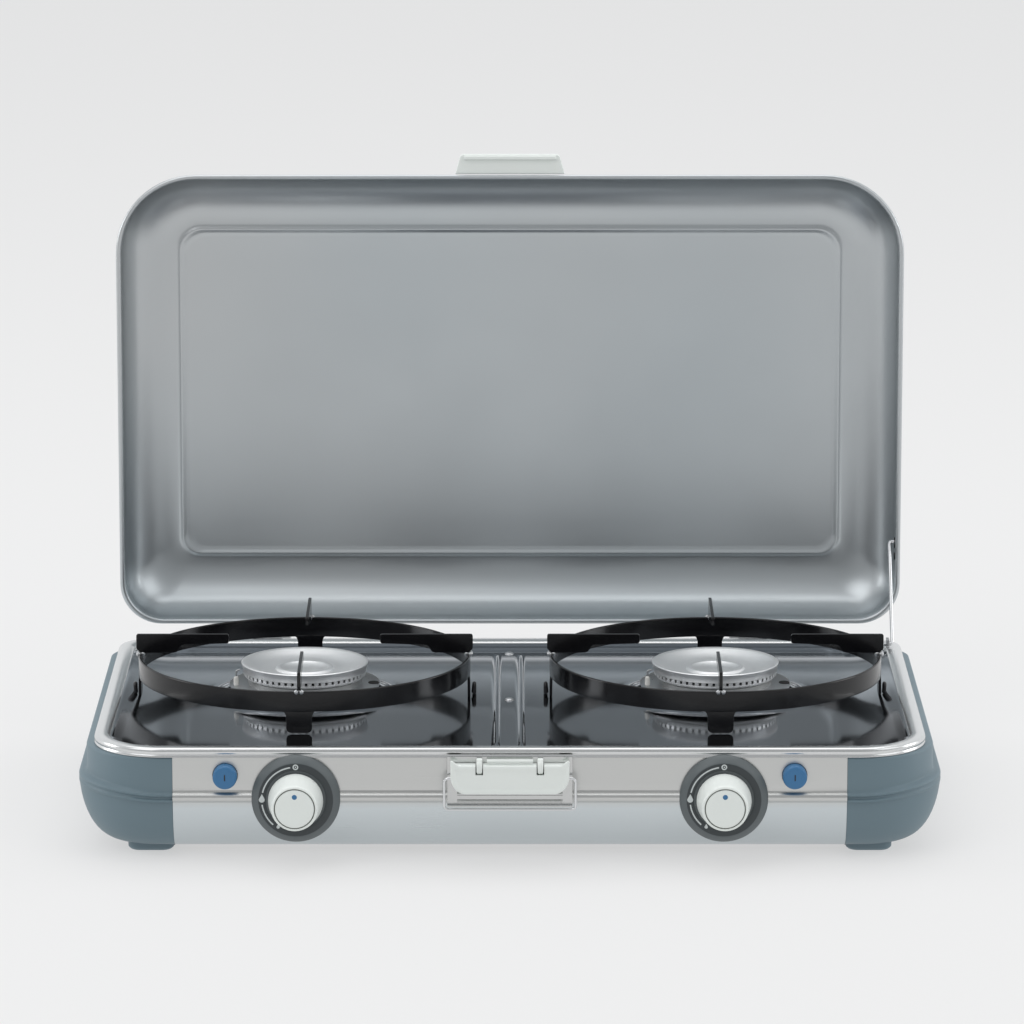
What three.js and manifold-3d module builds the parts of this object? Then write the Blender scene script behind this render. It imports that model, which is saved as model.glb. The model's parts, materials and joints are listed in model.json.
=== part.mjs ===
// Two-burner camping stove with a hinged lid, standing open with its lid up.
// Millimetres. +X is to the right of someone at the knobs, -Y is towards them and +Z is up.
// Pieces are placed about the middle of the base, and the whole stove is then moved along Y
// so that its origin is at the bottom middle of its box.
import * as THREE from "three";
import { mergeVertices } from "three/addons/utils/BufferGeometryUtils.js";
import Module from "manifold-3d";

const wasm = await Module();
wasm.setup();

// ---------------------------------------------------------------- driving dimensions

const gap = 0.3; // air between pieces that touch
const leastRadius = 1.5; // an inset plan's corners never get sharper

const base = {
  width: 520, // at the ledge of the end caps
  depth: 300,
  frontRadius: 46,
  backRadius: 26,
  ledge: 66, // height of the end caps' top ledge
  bulge: 5, // how far each side swells below the ledge
  bellyTop: 42, // where the belly starts to curve in
  bellyInset: 24,
  bellyFoot: 6, // height of the belly's lower edge
  seam: 205, // half the width between the end caps
  wall: 2.5, // end caps
  sheet: 1.5, // metal panels
  flange: 6, // return at the bottom edge
};
const bead = { height: 41.25, radius: 3.25, proud: 2.5 };
const plate = { thickness: 1.2, inset: 2 };
const foot = { radius: 9, insetX: 46, insetY: 45 };

const rim = { overhang: 5, front: 0.5, band: 11, height: 5.7, round: 1.5 };
const tray = { thickness: 1.2, underRim: 6, ribWidth: 16, ribHeight: 1.5, ribEnd: 14 };
const hill = { height: 8, topRadius: 38, footRadius: 64, hole: 21 };

const burner = {
  spacing: 260,
  y: 15,
  neck: 19,
  cavity: 15.5,
  cup: 36,
  cupHeight: 3.2,
  neckBottom: 30,
  floor: 4,
  tubeRadius: 10,
  tubeBore: 7,
  tubeFront: 60, // this and the gas parts' ends are distances behind the front panel
};
const cap = { radius: 40, rimWidth: 6.5, height: 7.7, dish: 3, ringOut: 18, ringIn: 15.5, ringHigh: 1.2 };
const electrode = { radius: 2.2, reach: 44, angle: 192, bottom: 50, top: 80, clearance: 1 };

const ring = { radius: 105, band: 13, sheet: 1.6, top: 26.8, footLift: 0.6, legWidth: 16 };
const arm = { top: 39.4, tip: 47.8, end: 106.5, tipDepth: 6.1, step: 77, rise: 3, fall: 4, sheet: 1.6 };
const clip = { width: 7, thick: 4.2, height: 10 };

const knob = { z: 41, radius: 16.75, face: 12.6, length: 21.5, crown: 1.6, standoff: 0.5, cover: 5 };
const bezel = { radius: 27, face: 24.6, proud: 6, chamfer: 2.4 };
const spindle = { radius: 3, clearance: 0.35, back: 29 };
const button = { x: 173, z: 55, radius: 7.4, proud: 7, back: 9, round: 1.4, hole: 0.8 };
const igniter = { radius: 7, front: 13.5, back: 50, lead: 1.2 };

const rail = { radius: 5, back: 32, z: 20, overrun: 15, bend: 14 };
const inlet = { x: 185, fromBack: 14, reach: 20, radius: 4, barb: 5.4, hole: 7 };
const tap = { radius: 11, front: 7, back: 42, boss: 6 };
const injector = { hex: 6, hexLength: 6, nose: 3.2, front: 42.3, back: 58, jet: 0.8 };

const hinge = { behind: 8.5, z: 70, x: 160, knuckle: 4, pin: 1.8, leaf: 19.4, ear: 6, clearance: 0.3 };
const lid = {
  sideMargin: 4, // inside the base's width
  backMargin: 1,
  height: 38,
  frontRadius: 52,
  backRadius: 25,
  roll: 2, // how far the rolled edge stands out of the wall
  rollHeight: 3,
  fillet: 22,
  sheet: 1.2,
  above: 0.5, // mouth plane above the rim when shut
};
const catchPlate = { foot: 71, head: 65, height: 13, thick: 6, setback: 1 };

const stay = {
  fromWall: 3.8,
  fromBack: 28,
  lift: 2,
  reachY: 44,
  reachZ: 59,
  radius: 1.2,
  hook: 3.2,
  tail: 5.5,
  bend: 2.4,
};
const stayLug = { thick: 2, width: 8, foot: 20, footHeight: 1, crown: 3.6, offset: 3 };

const latch = {
  halfWidth: 36,
  top: 64,
  ear: 67,
  earWidth: 8,
  bottom: 46,
  corner: 6,
  thick: 8,
  wall: 3,
  axisZ: 63,
  barRadius: 1.5,
  lugX: 18.5,
  lug: 3,
  lugTop: 67,
};
const latchPlate = { halfWidth: 38, bottom: 36, top: 67.5, thick: 0.9, pad: 30, clearance: 0.9 };
const bail = { halfWidth: 39.5, drop: 18.5, below: 8, radius: 1.25, bend: 2.6, grip: 2.5 };

// ---------------------------------------------------------------- derived places

const half = { x: base.width / 2, y: base.depth / 2 };
const behindFront = (distance) => distance - half.y;
const rimBottom = base.ledge + gap;
const rimTop = rimBottom + rim.height;
const trayTop = base.ledge;
const hillTop = trayTop + hill.height;
const cupTop = hillTop + gap + burner.cupHeight;
const capBottom = cupTop + gap;
const burnerX = burner.spacing / 2;
const plateBottom = base.bellyFoot + base.wall + gap;
const hingeAxis = { y: half.y + hinge.behind, z: hinge.z };
const mouth = rimTop + lid.above - hingeAxis.z; // above the axis when shut
const knobBack = half.y + bezel.proud + knob.standoff; // in front of the middle
const knobFront = knobBack + knob.length;
const plateFront = half.y + bead.proud + gap + latchPlate.thick;
const leverBack = plateFront + latchPlate.clearance;
const leverFront = leverBack + latch.thick;
const latchAxisY = -(leverBack + latch.thick / 2);
const bailPivot = { y: latchAxisY - 0.9, z: latch.axisZ - bail.below };
const lidWidth = base.width - 2 * lid.sideMargin;
const lidDepth = base.depth - 2 * lid.backMargin;
const lidWall = lidWidth / 2 - lid.roll - lid.sheet; // inner face of its side wall
const railEnd = half.y - inlet.fromBack;
const stayX = lidWall - stay.fromWall;
const lidBack = hingeAxis.y + mouth + lid.height;
const middleY = (lidBack - knobFront) / 2;

// ---------------------------------------------------------------- finishes

const finish = (color, roughness, metalness) =>
  new THREE.MeshStandardMaterial({ color, roughness, metalness });

const finishes = {
  brushed: finish(0xb9bcbb, 0.35, 1),
  mirror: finish(0x9aa0a4, 0.12, 1),
  satin: finish(0xa2a9ab, 0.3, 1),
  cast: finish(0xb4b6b4, 0.5, 1),
  steel: finish(0x8f9496, 0.4, 1),
  chrome: finish(0xd0d2d4, 0.08, 1),
  brass: finish(0xb59a52, 0.35, 1),
  enamel: finish(0x141516, 0.18, 0),
  capPlastic: finish(0x6a7d86, 0.55, 0),
  charcoal: finish(0x3c4246, 0.5, 0),
  cream: finish(0xe6e7e2, 0.4, 0),
  blue: finish(0x417db4, 0.35, 0),
  rubber: finish(0x1f2021, 0.85, 0),
  black: finish(0x202224, 0.5, 0),
  ceramic: finish(0xf0eee8, 0.35, 0),
};

// ---------------------------------------------------------------- solids and booleans

// A closed three.js geometry as a solid that can be joined and cut.
function solid(geometry) {
  const bare = geometry.clone();
  bare.deleteAttribute("normal");
  bare.deleteAttribute("uv");
  const merged = mergeVertices(bare, 1e-4);
  return new wasm.Manifold(
    new wasm.Mesh({
      numProp: 3,
      vertProperties: merged.attributes.position.array,
      triVerts: new Uint32Array(merged.index.array),
    }),
  );
}

function join(...solids) {
  return solids.reduce((whole, next) => whole.add(next));
}

function cut(body, ...tools) {
  return tools.reduce((rest, tool) => rest.subtract(tool), body);
}

function geometryOf(body) {
  const mesh = body.getMesh();
  const geometry = new THREE.BufferGeometry();
  geometry.setAttribute("position", new THREE.BufferAttribute(mesh.vertProperties, 3));
  geometry.setIndex(new THREE.BufferAttribute(mesh.triVerts, 1));
  geometry.computeVertexNormals();
  return geometry;
}

function box(x0, x1, y0, y1, z0, z1) {
  const geometry = new THREE.BoxGeometry(x1 - x0, y1 - y0, z1 - z0);
  geometry.translate((x0 + x1) / 2, (y0 + y1) / 2, (z0 + z1) / 2);
  return solid(geometry);
}

// A rod between two ends along one axis, centred on the other two coordinates.
function rodX(radius, x0, x1, y, z, sides = 16) {
  const geometry = new THREE.CylinderGeometry(radius, radius, x1 - x0, sides);
  geometry.rotateZ(Math.PI / 2).translate((x0 + x1) / 2, y, z);
  return solid(geometry);
}

function rodY(radius, y0, y1, x, z, sides = 20) {
  const geometry = new THREE.CylinderGeometry(radius, radius, y1 - y0, sides);
  geometry.translate(x, (y0 + y1) / 2, z);
  return solid(geometry);
}

function rodZ(radius, z0, z1, x, y, sides = 20) {
  const geometry = new THREE.CylinderGeometry(radius, radius, z1 - z0, sides);
  geometry.rotateX(Math.PI / 2).translate(x, y, (z0 + z1) / 2);
  return solid(geometry);
}

// A turned piece standing on the Z axis: profile points are [radius, height].
function turned(profile, sides = 24) {
  const points = profile.map(([r, z]) => new THREE.Vector2(r, z));
  const geometry = new THREE.LatheGeometry(points, sides);
  return solid(geometry.rotateX(Math.PI / 2));
}

// A turned piece whose axis points to the front: heights run towards -Y.
function turnedToFront(profile, sides = 24) {
  const points = profile.map(([r, out]) => new THREE.Vector2(r, out));
  const geometry = new THREE.LatheGeometry(points, sides);
  return solid(geometry.rotateZ(Math.PI));
}

// A rectangle in plan with larger corners at the front.
function roundedPlan(width, depth, frontRadius, backRadius) {
  const x = width / 2;
  const y = depth / 2;
  const shape = new THREE.Shape();
  shape.moveTo(-x + frontRadius, -y);
  shape.lineTo(x - frontRadius, -y);
  shape.absarc(x - frontRadius, -y + frontRadius, frontRadius, -Math.PI / 2, 0);
  shape.lineTo(x, y - backRadius);
  shape.absarc(x - backRadius, y - backRadius, backRadius, 0, Math.PI / 2);
  shape.lineTo(-x + backRadius, y);
  shape.absarc(-x + backRadius, y - backRadius, backRadius, Math.PI / 2, Math.PI);
  shape.lineTo(-x, -y + frontRadius);
  shape.absarc(-x + frontRadius, -y + frontRadius, frontRadius, Math.PI, 1.5 * Math.PI);
  return shape;
}

function insetPlan(plan, inset) {
  return roundedPlan(
    plan.width - 2 * inset,
    plan.depth - 2 * inset,
    Math.max(plan.frontRadius - inset, leastRadius),
    Math.max(plan.backRadius - inset, leastRadius),
  );
}

function standing(shape, z0, z1) {
  const options = { depth: z1 - z0, bevelEnabled: false, curveSegments: 4 };
  return solid(new THREE.ExtrudeGeometry(shape, options).translate(0, 0, z0));
}

// A shape drawn in Y and Z, extruded along X.
function alongX(shape, x0, x1, curveSegments = 8) {
  const options = { depth: x1 - x0, bevelEnabled: false, curveSegments };
  const geometry = new THREE.ExtrudeGeometry(shape, options);
  const turn = new THREE.Matrix4().makeBasis(
    new THREE.Vector3(0, 1, 0),
    new THREE.Vector3(0, 0, 1),
    new THREE.Vector3(1, 0, 0),
  );
  return solid(geometry.applyMatrix4(turn).translate(x0, 0, 0));
}

// A shape drawn in X and Z, extruded from y = back towards the front.
function toFront(shape, back, front, curveSegments = 5) {
  const options = { depth: back - front, bevelEnabled: false, curveSegments };
  const geometry = new THREE.ExtrudeGeometry(shape, options);
  const turn = new THREE.Matrix4().makeBasis(
    new THREE.Vector3(1, 0, 0),
    new THREE.Vector3(0, 0, 1),
    new THREE.Vector3(0, -1, 0),
  );
  return solid(geometry.applyMatrix4(turn).translate(0, back, 0));
}

// A plan with rounded upper and lower edges, centred on z = 0.
function cushion(plan, inset, height, radius) {
  const bevel = radius - inset;
  const straight = height - radius;
  const geometry = new THREE.ExtrudeGeometry(insetPlan(plan, inset), {
    depth: 2 * straight,
    bevelThickness: bevel,
    bevelSize: bevel,
    bevelOffset: -bevel,
    bevelSegments: 3,
    curveSegments: 4,
  });
  return solid(geometry.translate(0, 0, -straight));
}

function polygon(points) {
  return new THREE.Shape(points.map(([u, v]) => new THREE.Vector2(u, v)));
}

// A round wire through corner points, each corner turned with a bend.
function wire(points, radius, bend, steps, sides = 6) {
  const corners = points.map((p) => new THREE.Vector3(...p));
  const path = new THREE.CurvePath();
  let from = corners[0];
  for (let i = 1; i < corners.length - 1; i++) {
    const towards = corners[i].clone().sub(corners[i - 1]).normalize();
    const away = corners[i + 1].clone().sub(corners[i]).normalize();
    const start = corners[i].clone().addScaledVector(towards, -bend);
    const end = corners[i].clone().addScaledVector(away, bend);
    path.add(new THREE.LineCurve3(from, start));
    path.add(new THREE.QuadraticBezierCurve3(start, corners[i], end));
    from = end;
  }
  path.add(new THREE.LineCurve3(from, corners.at(-1)));
  const section = new THREE.Shape();
  section.absarc(0, 0, radius, 0, 2 * Math.PI);
  const options = { steps, extrudePath: path, curveSegments: sides / 2 };
  return solid(new THREE.ExtrudeGeometry(section, options));
}

// ---------------------------------------------------------------- scene graph

const stove = new THREE.Group();
stove.position.y = -middleY;

function piece(parent, name, body, material, position = [0, 0, 0]) {
  const mesh = new THREE.Mesh(geometryOf(body), material);
  mesh.name = name;
  mesh.position.set(...position);
  parent.add(mesh);
}

const sides = [
  { name: "left", sign: -1 },
  { name: "right", sign: 1 },
];
const ends = [
  { name: "front", sign: -1 },
  { name: "back", sign: 1 },
];

// ---------------------------------------------------------------- housing

const bellyPlan = {
  width: base.width + 2 * base.bulge,
  depth: base.depth,
  frontRadius: base.frontRadius,
  backRadius: base.backRadius,
};
const upperPlan = { ...bellyPlan, width: base.width };

// The lower half of the housing, whose sides curve in towards the floor.
function belly(inset) {
  const drop = base.bellyTop - base.bellyFoot - inset;
  const curve = base.bellyInset - inset;
  const geometry = new THREE.ExtrudeGeometry(insetPlan(bellyPlan, inset), {
    depth: 1,
    bevelThickness: drop,
    bevelSize: curve,
    bevelOffset: -curve,
    bevelSegments: 4,
    curveSegments: 4,
  });
  const whole = solid(geometry.translate(0, 0, base.bellyTop));
  const reach = base.width;
  return cut(whole, box(-reach, reach, -reach, reach, base.bellyTop, 3 * reach));
}

function housing(inset, top) {
  const plan = insetPlan(upperPlan, inset);
  return join(belly(inset), standing(plan, base.bellyTop - 0.2, top));
}

function endCap(sign) {
  const open = standing(insetPlan(bellyPlan, base.bellyInset + base.flange), 0, base.bellyTop);
  const shell = cut(housing(0, base.ledge), housing(base.wall, base.ledge + 1), open);
  const inner = sign * (base.seam + gap / 2);
  const outer = sign * base.width;
  const side = box(Math.min(inner, outer), Math.max(inner, outer), -half.x, half.x, 0, rimTop);
  return shell.intersect(side);
}

// The outer face of a panel as a curve in Y and Z, moved outwards by some allowance.
function panelOutline(shape, out) {
  const back = -half.y + base.bellyInset;
  shape.moveTo(-half.y - out, base.ledge);
  shape.lineTo(-half.y - out, base.bellyTop);
  const drop = base.bellyTop - base.bellyFoot;
  shape.absellipse(back, base.bellyTop, base.bellyInset + out, drop + out, Math.PI, 1.5 * Math.PI);
  return shape;
}

function panelSheet() {
  const shape = panelOutline(new THREE.Shape(), 0);
  const back = -half.y + base.bellyInset;
  const lower = base.bellyFoot + base.sheet;
  const rx = base.bellyInset - base.sheet;
  const ry = base.bellyTop - lower;
  shape.lineTo(back + base.flange, base.bellyFoot);
  shape.lineTo(back + base.flange, lower);
  shape.lineTo(back, lower);
  shape.absellipse(back, base.bellyTop, rx, ry, 1.5 * Math.PI, Math.PI, true);
  shape.lineTo(-half.y + base.sheet, base.ledge);
  return alongX(shape, -base.seam, base.seam);
}

function beadRod(allowance) {
  const y = -half.y + bead.radius - bead.proud;
  const reach = base.seam + allowance;
  return rodX(bead.radius + allowance, -reach, reach, y, bead.height, 14);
}

// Everything behind the panel's outer face, used to fit what sits on it.
function behindPanel() {
  const shape = panelOutline(new THREE.Shape(), gap);
  shape.lineTo(0, base.bellyFoot - gap);
  shape.lineTo(0, base.ledge);
  return join(alongX(shape, -base.seam, base.seam), beadRod(gap));
}

function frontPanel() {
  const behind = box(-half.x, half.x, -half.y + base.sheet / 2, 0, 0, base.ledge + 1);
  let panel = join(panelSheet(), cut(beadRod(0), behind));
  for (const { sign } of sides) {
    panel = cut(
      panel,
      rodY(spindle.radius + knob.cover / 2, -half.x, -half.y / 2, sign * burnerX, knob.z, 16),
      rodY(button.radius + button.hole, -half.x, -half.y / 2, sign * button.x, button.z, 16),
    );
  }
  return panel;
}

function rearPanel() {
  const turnedRound = panelSheet().rotate([0, 0, 180]);
  return cut(turnedRound, rodY(inlet.hole, half.y / 2, half.x, inlet.x, rail.z, 16));
}

function bottomPlate() {
  const plan = insetPlan(bellyPlan, base.bellyInset + plate.inset);
  return standing(plan, plateBottom, plateBottom + plate.thickness);
}

function topFrame() {
  const outer = {
    width: base.width - 2 * rim.overhang,
    depth: base.depth + 2 * rim.front,
    frontRadius: base.frontRadius - 3,
    backRadius: base.backRadius - 2,
  };
  const shape = insetPlan(outer, 0);
  shape.holes.push(insetPlan(outer, rim.band));
  const geometry = new THREE.ExtrudeGeometry(shape, {
    depth: rim.height - 2 * rim.round,
    bevelThickness: rim.round,
    bevelSize: rim.round,
    bevelOffset: -rim.round,
    bevelSegments: 1,
    curveSegments: 4,
  });
  return solid(geometry.translate(0, 0, rimBottom + rim.round));
}

function electrodePlace(sign) {
  const angle = THREE.MathUtils.degToRad(electrode.angle);
  return [
    sign * burnerX + electrode.reach * Math.cos(angle),
    burner.y + electrode.reach * Math.sin(angle),
  ];
}

function hobTray() {
  const inset = rim.band - tray.underRim;
  const plan = insetPlan({ ...upperPlan, width: base.width - 2 * rim.overhang }, inset);
  const top = trayTop;
  const bottom = trayTop - tray.thickness;
  let body = standing(plan, bottom, top);
  const ribReach = half.y - rim.band - tray.ribEnd;
  const rib = tray.ribWidth / 2;
  body = join(body, box(-rib, rib, -ribReach, ribReach, bottom, top + tray.ribHeight));
  const profile = [
    [hill.hole, hillTop - tray.thickness],
    [hill.topRadius - 0.5, hillTop - tray.thickness],
    [hill.footRadius - 0.5, bottom],
    [hill.footRadius + 1, bottom],
    [hill.footRadius + 1, top],
    [hill.footRadius, top],
    [hill.topRadius, hillTop],
    [hill.hole, hillTop],
    [hill.hole, hillTop - tray.thickness],
  ];
  const mound = turned(profile, 28);
  for (const { sign } of sides) {
    const place = [sign * burnerX, burner.y, 0];
    const [x, y] = electrodePlace(sign);
    body = cut(body, rodZ(hill.footRadius + 0.5, bottom - 1, top + 1, place[0], place[1], 28));
    body = join(body, mound.translate(place));
    body = cut(body, rodZ(electrode.radius + electrode.clearance, bottom, hillTop + 1, x, y, 10));
  }
  return body;
}

piece(stove, "bottom_plate", bottomPlate(), finishes.steel);
piece(stove, "front_panel", frontPanel(), finishes.brushed);
piece(stove, "rear_panel", rearPanel(), finishes.brushed);
piece(stove, "top_frame", topFrame(), finishes.satin);
piece(stove, "hob_tray", hobTray(), finishes.mirror);
for (const { name, sign } of sides) {
  piece(stove, `${name}_end_cap`, endCap(sign), finishes.capPlastic);
}

const footBody = rodZ(foot.radius, 0, plateBottom - gap, 0, 0, 16);
for (const side of sides) {
  for (const end of ends) {
    const x = side.sign * (half.x - foot.insetX);
    const y = end.sign * (half.y - foot.insetY);
    piece(stove, `${side.name}_${end.name}_foot`, footBody, finishes.rubber, [x, y, 0]);
  }
}

// ---------------------------------------------------------------- gas path

function gasRail() {
  const start = -burnerX - rail.overrun;
  const points = [
    [start, behindFront(rail.back), rail.z],
    [inlet.x, behindFront(rail.back), rail.z],
    [inlet.x, railEnd, rail.z],
  ];
  return wire(points, rail.radius, rail.bend, 24, 8);
}

// A barbed hose tail; its axis points to the front and is turned round when placed.
function inletNipple() {
  const start = railEnd + gap;
  const end = half.y + inlet.reach;
  const barb = (end - half.y) / 3;
  const profile = [[0, start], [inlet.radius, start], [inlet.radius, half.y]];
  for (let i = 0; i < 3; i++) {
    const from = half.y + i * barb;
    profile.push([inlet.barb, from + 1], [inlet.radius, from + barb - 0.2]);
  }
  profile.push([inlet.radius, end], [0, end]);
  return turnedToFront(profile, 14).rotate([0, 0, 180]);
}

function gasTap() {
  const body = join(
    rodY(tap.radius, behindFront(tap.front), behindFront(tap.back), 0, knob.z, 16),
    rodZ(tap.boss, rail.z + rail.radius + gap, knob.z, 0, behindFront(rail.back), 12),
  );
  const bore = spindle.radius + spindle.clearance;
  return cut(body, rodY(bore, -half.y, behindFront(spindle.back) + 1, 0, knob.z, 14));
}

function gasInjector() {
  const start = behindFront(injector.front);
  const shoulder = start + injector.hexLength;
  const tip = behindFront(injector.back);
  const body = join(
    rodY(injector.hex, start, shoulder, 0, knob.z, 6),
    rodY(injector.nose, shoulder - 0.1, tip, 0, knob.z, 12),
  );
  return cut(body, rodY(injector.jet, tip - 6, tip + 1, 0, knob.z, 6));
}

function burnerBody() {
  const cavityFloor = burner.neckBottom + burner.floor;
  const tubeFront = behindFront(burner.tubeFront);
  const body = join(
    rodY(burner.tubeRadius, tubeFront, burner.y, 0, knob.z, 16),
    rodZ(burner.neck, burner.neckBottom, hillTop + 1, 0, burner.y, 24),
    rodZ(burner.cup, hillTop + gap, cupTop, 0, burner.y, 32),
  );
  return cut(
    body,
    rodY(burner.tubeBore, tubeFront - 1, burner.y, 0, knob.z, 12),
    rodZ(burner.cavity, cavityFloor, cupTop + 1, 0, burner.y, 24),
  );
}

function burnerCap() {
  const top = capBottom + cap.height;
  const inner = cap.radius - cap.rimWidth;
  const floor = top - cap.dish;
  const under = capBottom + 2;
  return turned([
    [0, under],
    [inner - 1, under],
    [inner, capBottom],
    [cap.radius, capBottom],
    [cap.radius, top],
    [inner, top],
    [inner - 2, floor],
    [cap.ringOut, floor],
    [cap.ringOut, floor + cap.ringHigh],
    [cap.ringIn, floor + cap.ringHigh],
    [cap.ringIn, floor],
    [0, floor],
  ]);
}

// The lead from an igniter to the foot of its electrode.
function igniterLead(sign) {
  const [x, y] = electrodePlace(sign);
  const start = sign * button.x;
  const back = behindFront(igniter.back);
  const under = electrode.bottom - 5;
  const over = (button.z + trayTop) / 2 - 2;
  const points = [
    [start, back + gap, button.z],
    [start, back + 15, button.z],
    [(start + x) / 2, (back + y) / 2, over],
    [x, y - 14, under],
    [x, y, under - 2],
    [x, y, electrode.bottom - gap],
  ];
  return wire(points, igniter.lead, 1.6, 24, 4);
}

piece(stove, "gas_rail", gasRail(), finishes.steel);
piece(stove, "gas_inlet_nipple", inletNipple(), finishes.brass, [inlet.x, 0, rail.z]);

const tapBody = gasTap();
const injectorBody = gasInjector();
const burnerCasting = burnerBody();
const capBody = burnerCap();
const electrodeBody = rodZ(electrode.radius, electrode.bottom, electrode.top, 0, 0, 10);
const igniterEnds = [behindFront(igniter.front), behindFront(igniter.back)];
const igniterBody = rodY(igniter.radius, ...igniterEnds, 0, button.z, 14);

for (const { name, sign } of sides) {
  const at = [sign * burnerX, 0, 0];
  piece(stove, `${name}_gas_tap`, tapBody, finishes.brass, at);
  piece(stove, `${name}_injector`, injectorBody, finishes.brass, at);
  piece(stove, `${name}_burner_body`, burnerCasting, finishes.cast, at);
  piece(stove, `${name}_burner_cap`, capBody, finishes.cast, [at[0], burner.y, 0]);
  piece(stove, `${name}_electrode`, electrodeBody, finishes.ceramic, [...electrodePlace(sign), 0]);
  piece(stove, `${name}_igniter`, igniterBody, finishes.black, [sign * button.x, 0, 0]);
  piece(stove, `${name}_igniter_lead`, igniterLead(sign), finishes.black);
}

// ---------------------------------------------------------------- front controls

function bezelBody(sign) {
  const x = sign * burnerX;
  const front = half.y + bezel.proud;
  const blank = turnedToFront([
    [0, half.y / 2],
    [bezel.radius, half.y / 2],
    [bezel.radius, front - bezel.chamfer],
    [bezel.face, front],
    [0, front],
  ]).translate([x, 0, knob.z]);
  const hole = rodY(spindle.radius + knob.cover / 2, -front - 1, 0, x, knob.z, 16);
  const rimFace = -half.y - rim.front - gap;
  const behindRim = box(-half.x, half.x, rimFace, 0, base.ledge - 1, rimTop + bezel.radius);
  return cut(blank, behindPanel(), behindRim, hole);
}

function knobBody() {
  const bore = spindle.radius + spindle.clearance;
  const blind = knobFront - knob.cover;
  return turnedToFront([
    [0, blind],
    [bore, blind],
    [bore, knobBack],
    [knob.radius, knobBack],
    [knob.radius - 0.8, knobBack + knob.length / 3],
    [knob.face + 0.9, knobFront - knob.crown],
    [knob.face, knobFront],
    [0, knobFront],
  ]);
}

function buttonBody() {
  const front = half.y + button.proud;
  return turnedToFront([
    [0, -behindFront(button.back)],
    [button.radius, -behindFront(button.back)],
    [button.radius, front - button.round],
    [button.radius - button.round, front],
    [0, front],
  ], 16);
}

const knobSolid = knobBody();
const buttonSolid = buttonBody();
const spindleFront = -(knobFront - knob.cover - gap);
const spindleSolid = rodY(spindle.radius, spindleFront, behindFront(spindle.back), 0, 0, 14);
for (const { name, sign } of sides) {
  const at = [sign * burnerX, 0, knob.z];
  piece(stove, `${name}_bezel`, bezelBody(sign), finishes.charcoal);
  piece(stove, `${name}_knob`, knobSolid, finishes.cream, at);
  piece(stove, `${name}_knob_spindle`, spindleSolid, finishes.brass, at);
  piece(stove, `${name}_button`, buttonSolid, finishes.blue, [sign * button.x, 0, button.z]);
}

// ---------------------------------------------------------------- latch

function latchPlateBody() {
  const back = -half.y - gap;
  const frontFace = -plateFront;
  const backFace = frontFace + latchPlate.thick;
  let body = join(
    box(-latchPlate.halfWidth, latchPlate.halfWidth, frontFace, backFace, latchPlate.bottom, latchPlate.top),
    box(-latchPlate.pad, latchPlate.pad, backFace - 0.1, back, latch.bottom + 4, latchPlate.top - 2),
  );
  const lugFront = latchAxisY - latch.lug;
  const hole = latch.barRadius + spindle.clearance;
  for (const { sign } of sides) {
    const x = sign * latch.lugX;
    const reach = latch.lug / 2;
    const lug = box(x - reach, x + reach, lugFront, frontFace + 0.1, latch.axisZ - latch.lug, latch.lugTop);
    body = join(body, lug);
  }
  return cut(body, rodX(hole, -half.x, half.x, latchAxisY, latch.axisZ, 12));
}

function leverOutline() {
  const w = latch.halfWidth;
  const r = latch.corner;
  const shape = new THREE.Shape();
  shape.moveTo(-w, latch.ear);
  shape.lineTo(-w, latch.bottom + r);
  shape.absarc(-w + r, latch.bottom + r, r, Math.PI, 1.5 * Math.PI);
  shape.lineTo(w - r, latch.bottom);
  shape.absarc(w - r, latch.bottom + r, r, -Math.PI / 2, 0);
  shape.lineTo(w, latch.ear);
  shape.lineTo(w - latch.earWidth, latch.top);
  shape.lineTo(-w + latch.earWidth, latch.top);
  return shape;
}

function leverBody() {
  const inner = latch.halfWidth - latch.wall;
  const back = -leverBack;
  const front = -leverFront;
  const slotFloor = latch.axisZ - latch.lug - 2;
  const relief = latchAxisY + latch.barRadius + 0.1;
  let body = cut(
    toFront(leverOutline(), back, front),
    box(-inner, inner, front + latch.wall, back + 1, latch.bottom + latch.wall, slotFloor),
    box(-half.x, half.x, relief, back + 1, latch.axisZ - latch.barRadius, latch.ear + 1),
    rodX(bail.radius + spindle.clearance, -half.x, half.x, bailPivot.y, bailPivot.z, 10),
  );
  for (const { sign } of sides) {
    const x = sign * latch.lugX;
    const reach = latch.lug / 2 + 0.8;
    body = cut(body, box(x - reach, x + reach, front - 1, back + 1, slotFloor, latch.ear + 1));
  }
  const barReach = latch.lugX + latch.lug + 1;
  return join(body, rodX(latch.barRadius, -barReach, barReach, latchAxisY, latch.axisZ, 12));
}

function bailBody() {
  const { y, z } = bailPivot;
  const w = bail.halfWidth;
  const end = latch.halfWidth - bail.grip;
  const low = z - bail.drop;
  const points = [
    [-end, y, z],
    [-w, y, z],
    [-w, y, low],
    [w, y, low],
    [w, y, z],
    [end, y, z],
  ];
  return wire(points, bail.radius, bail.bend, 36, 6);
}

piece(stove, "latch_plate", latchPlateBody(), finishes.steel);
piece(stove, "latch_lever", leverBody(), finishes.cream);
piece(stove, "latch_bail", bailBody(), finishes.chrome);

// ---------------------------------------------------------------- pan supports

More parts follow.
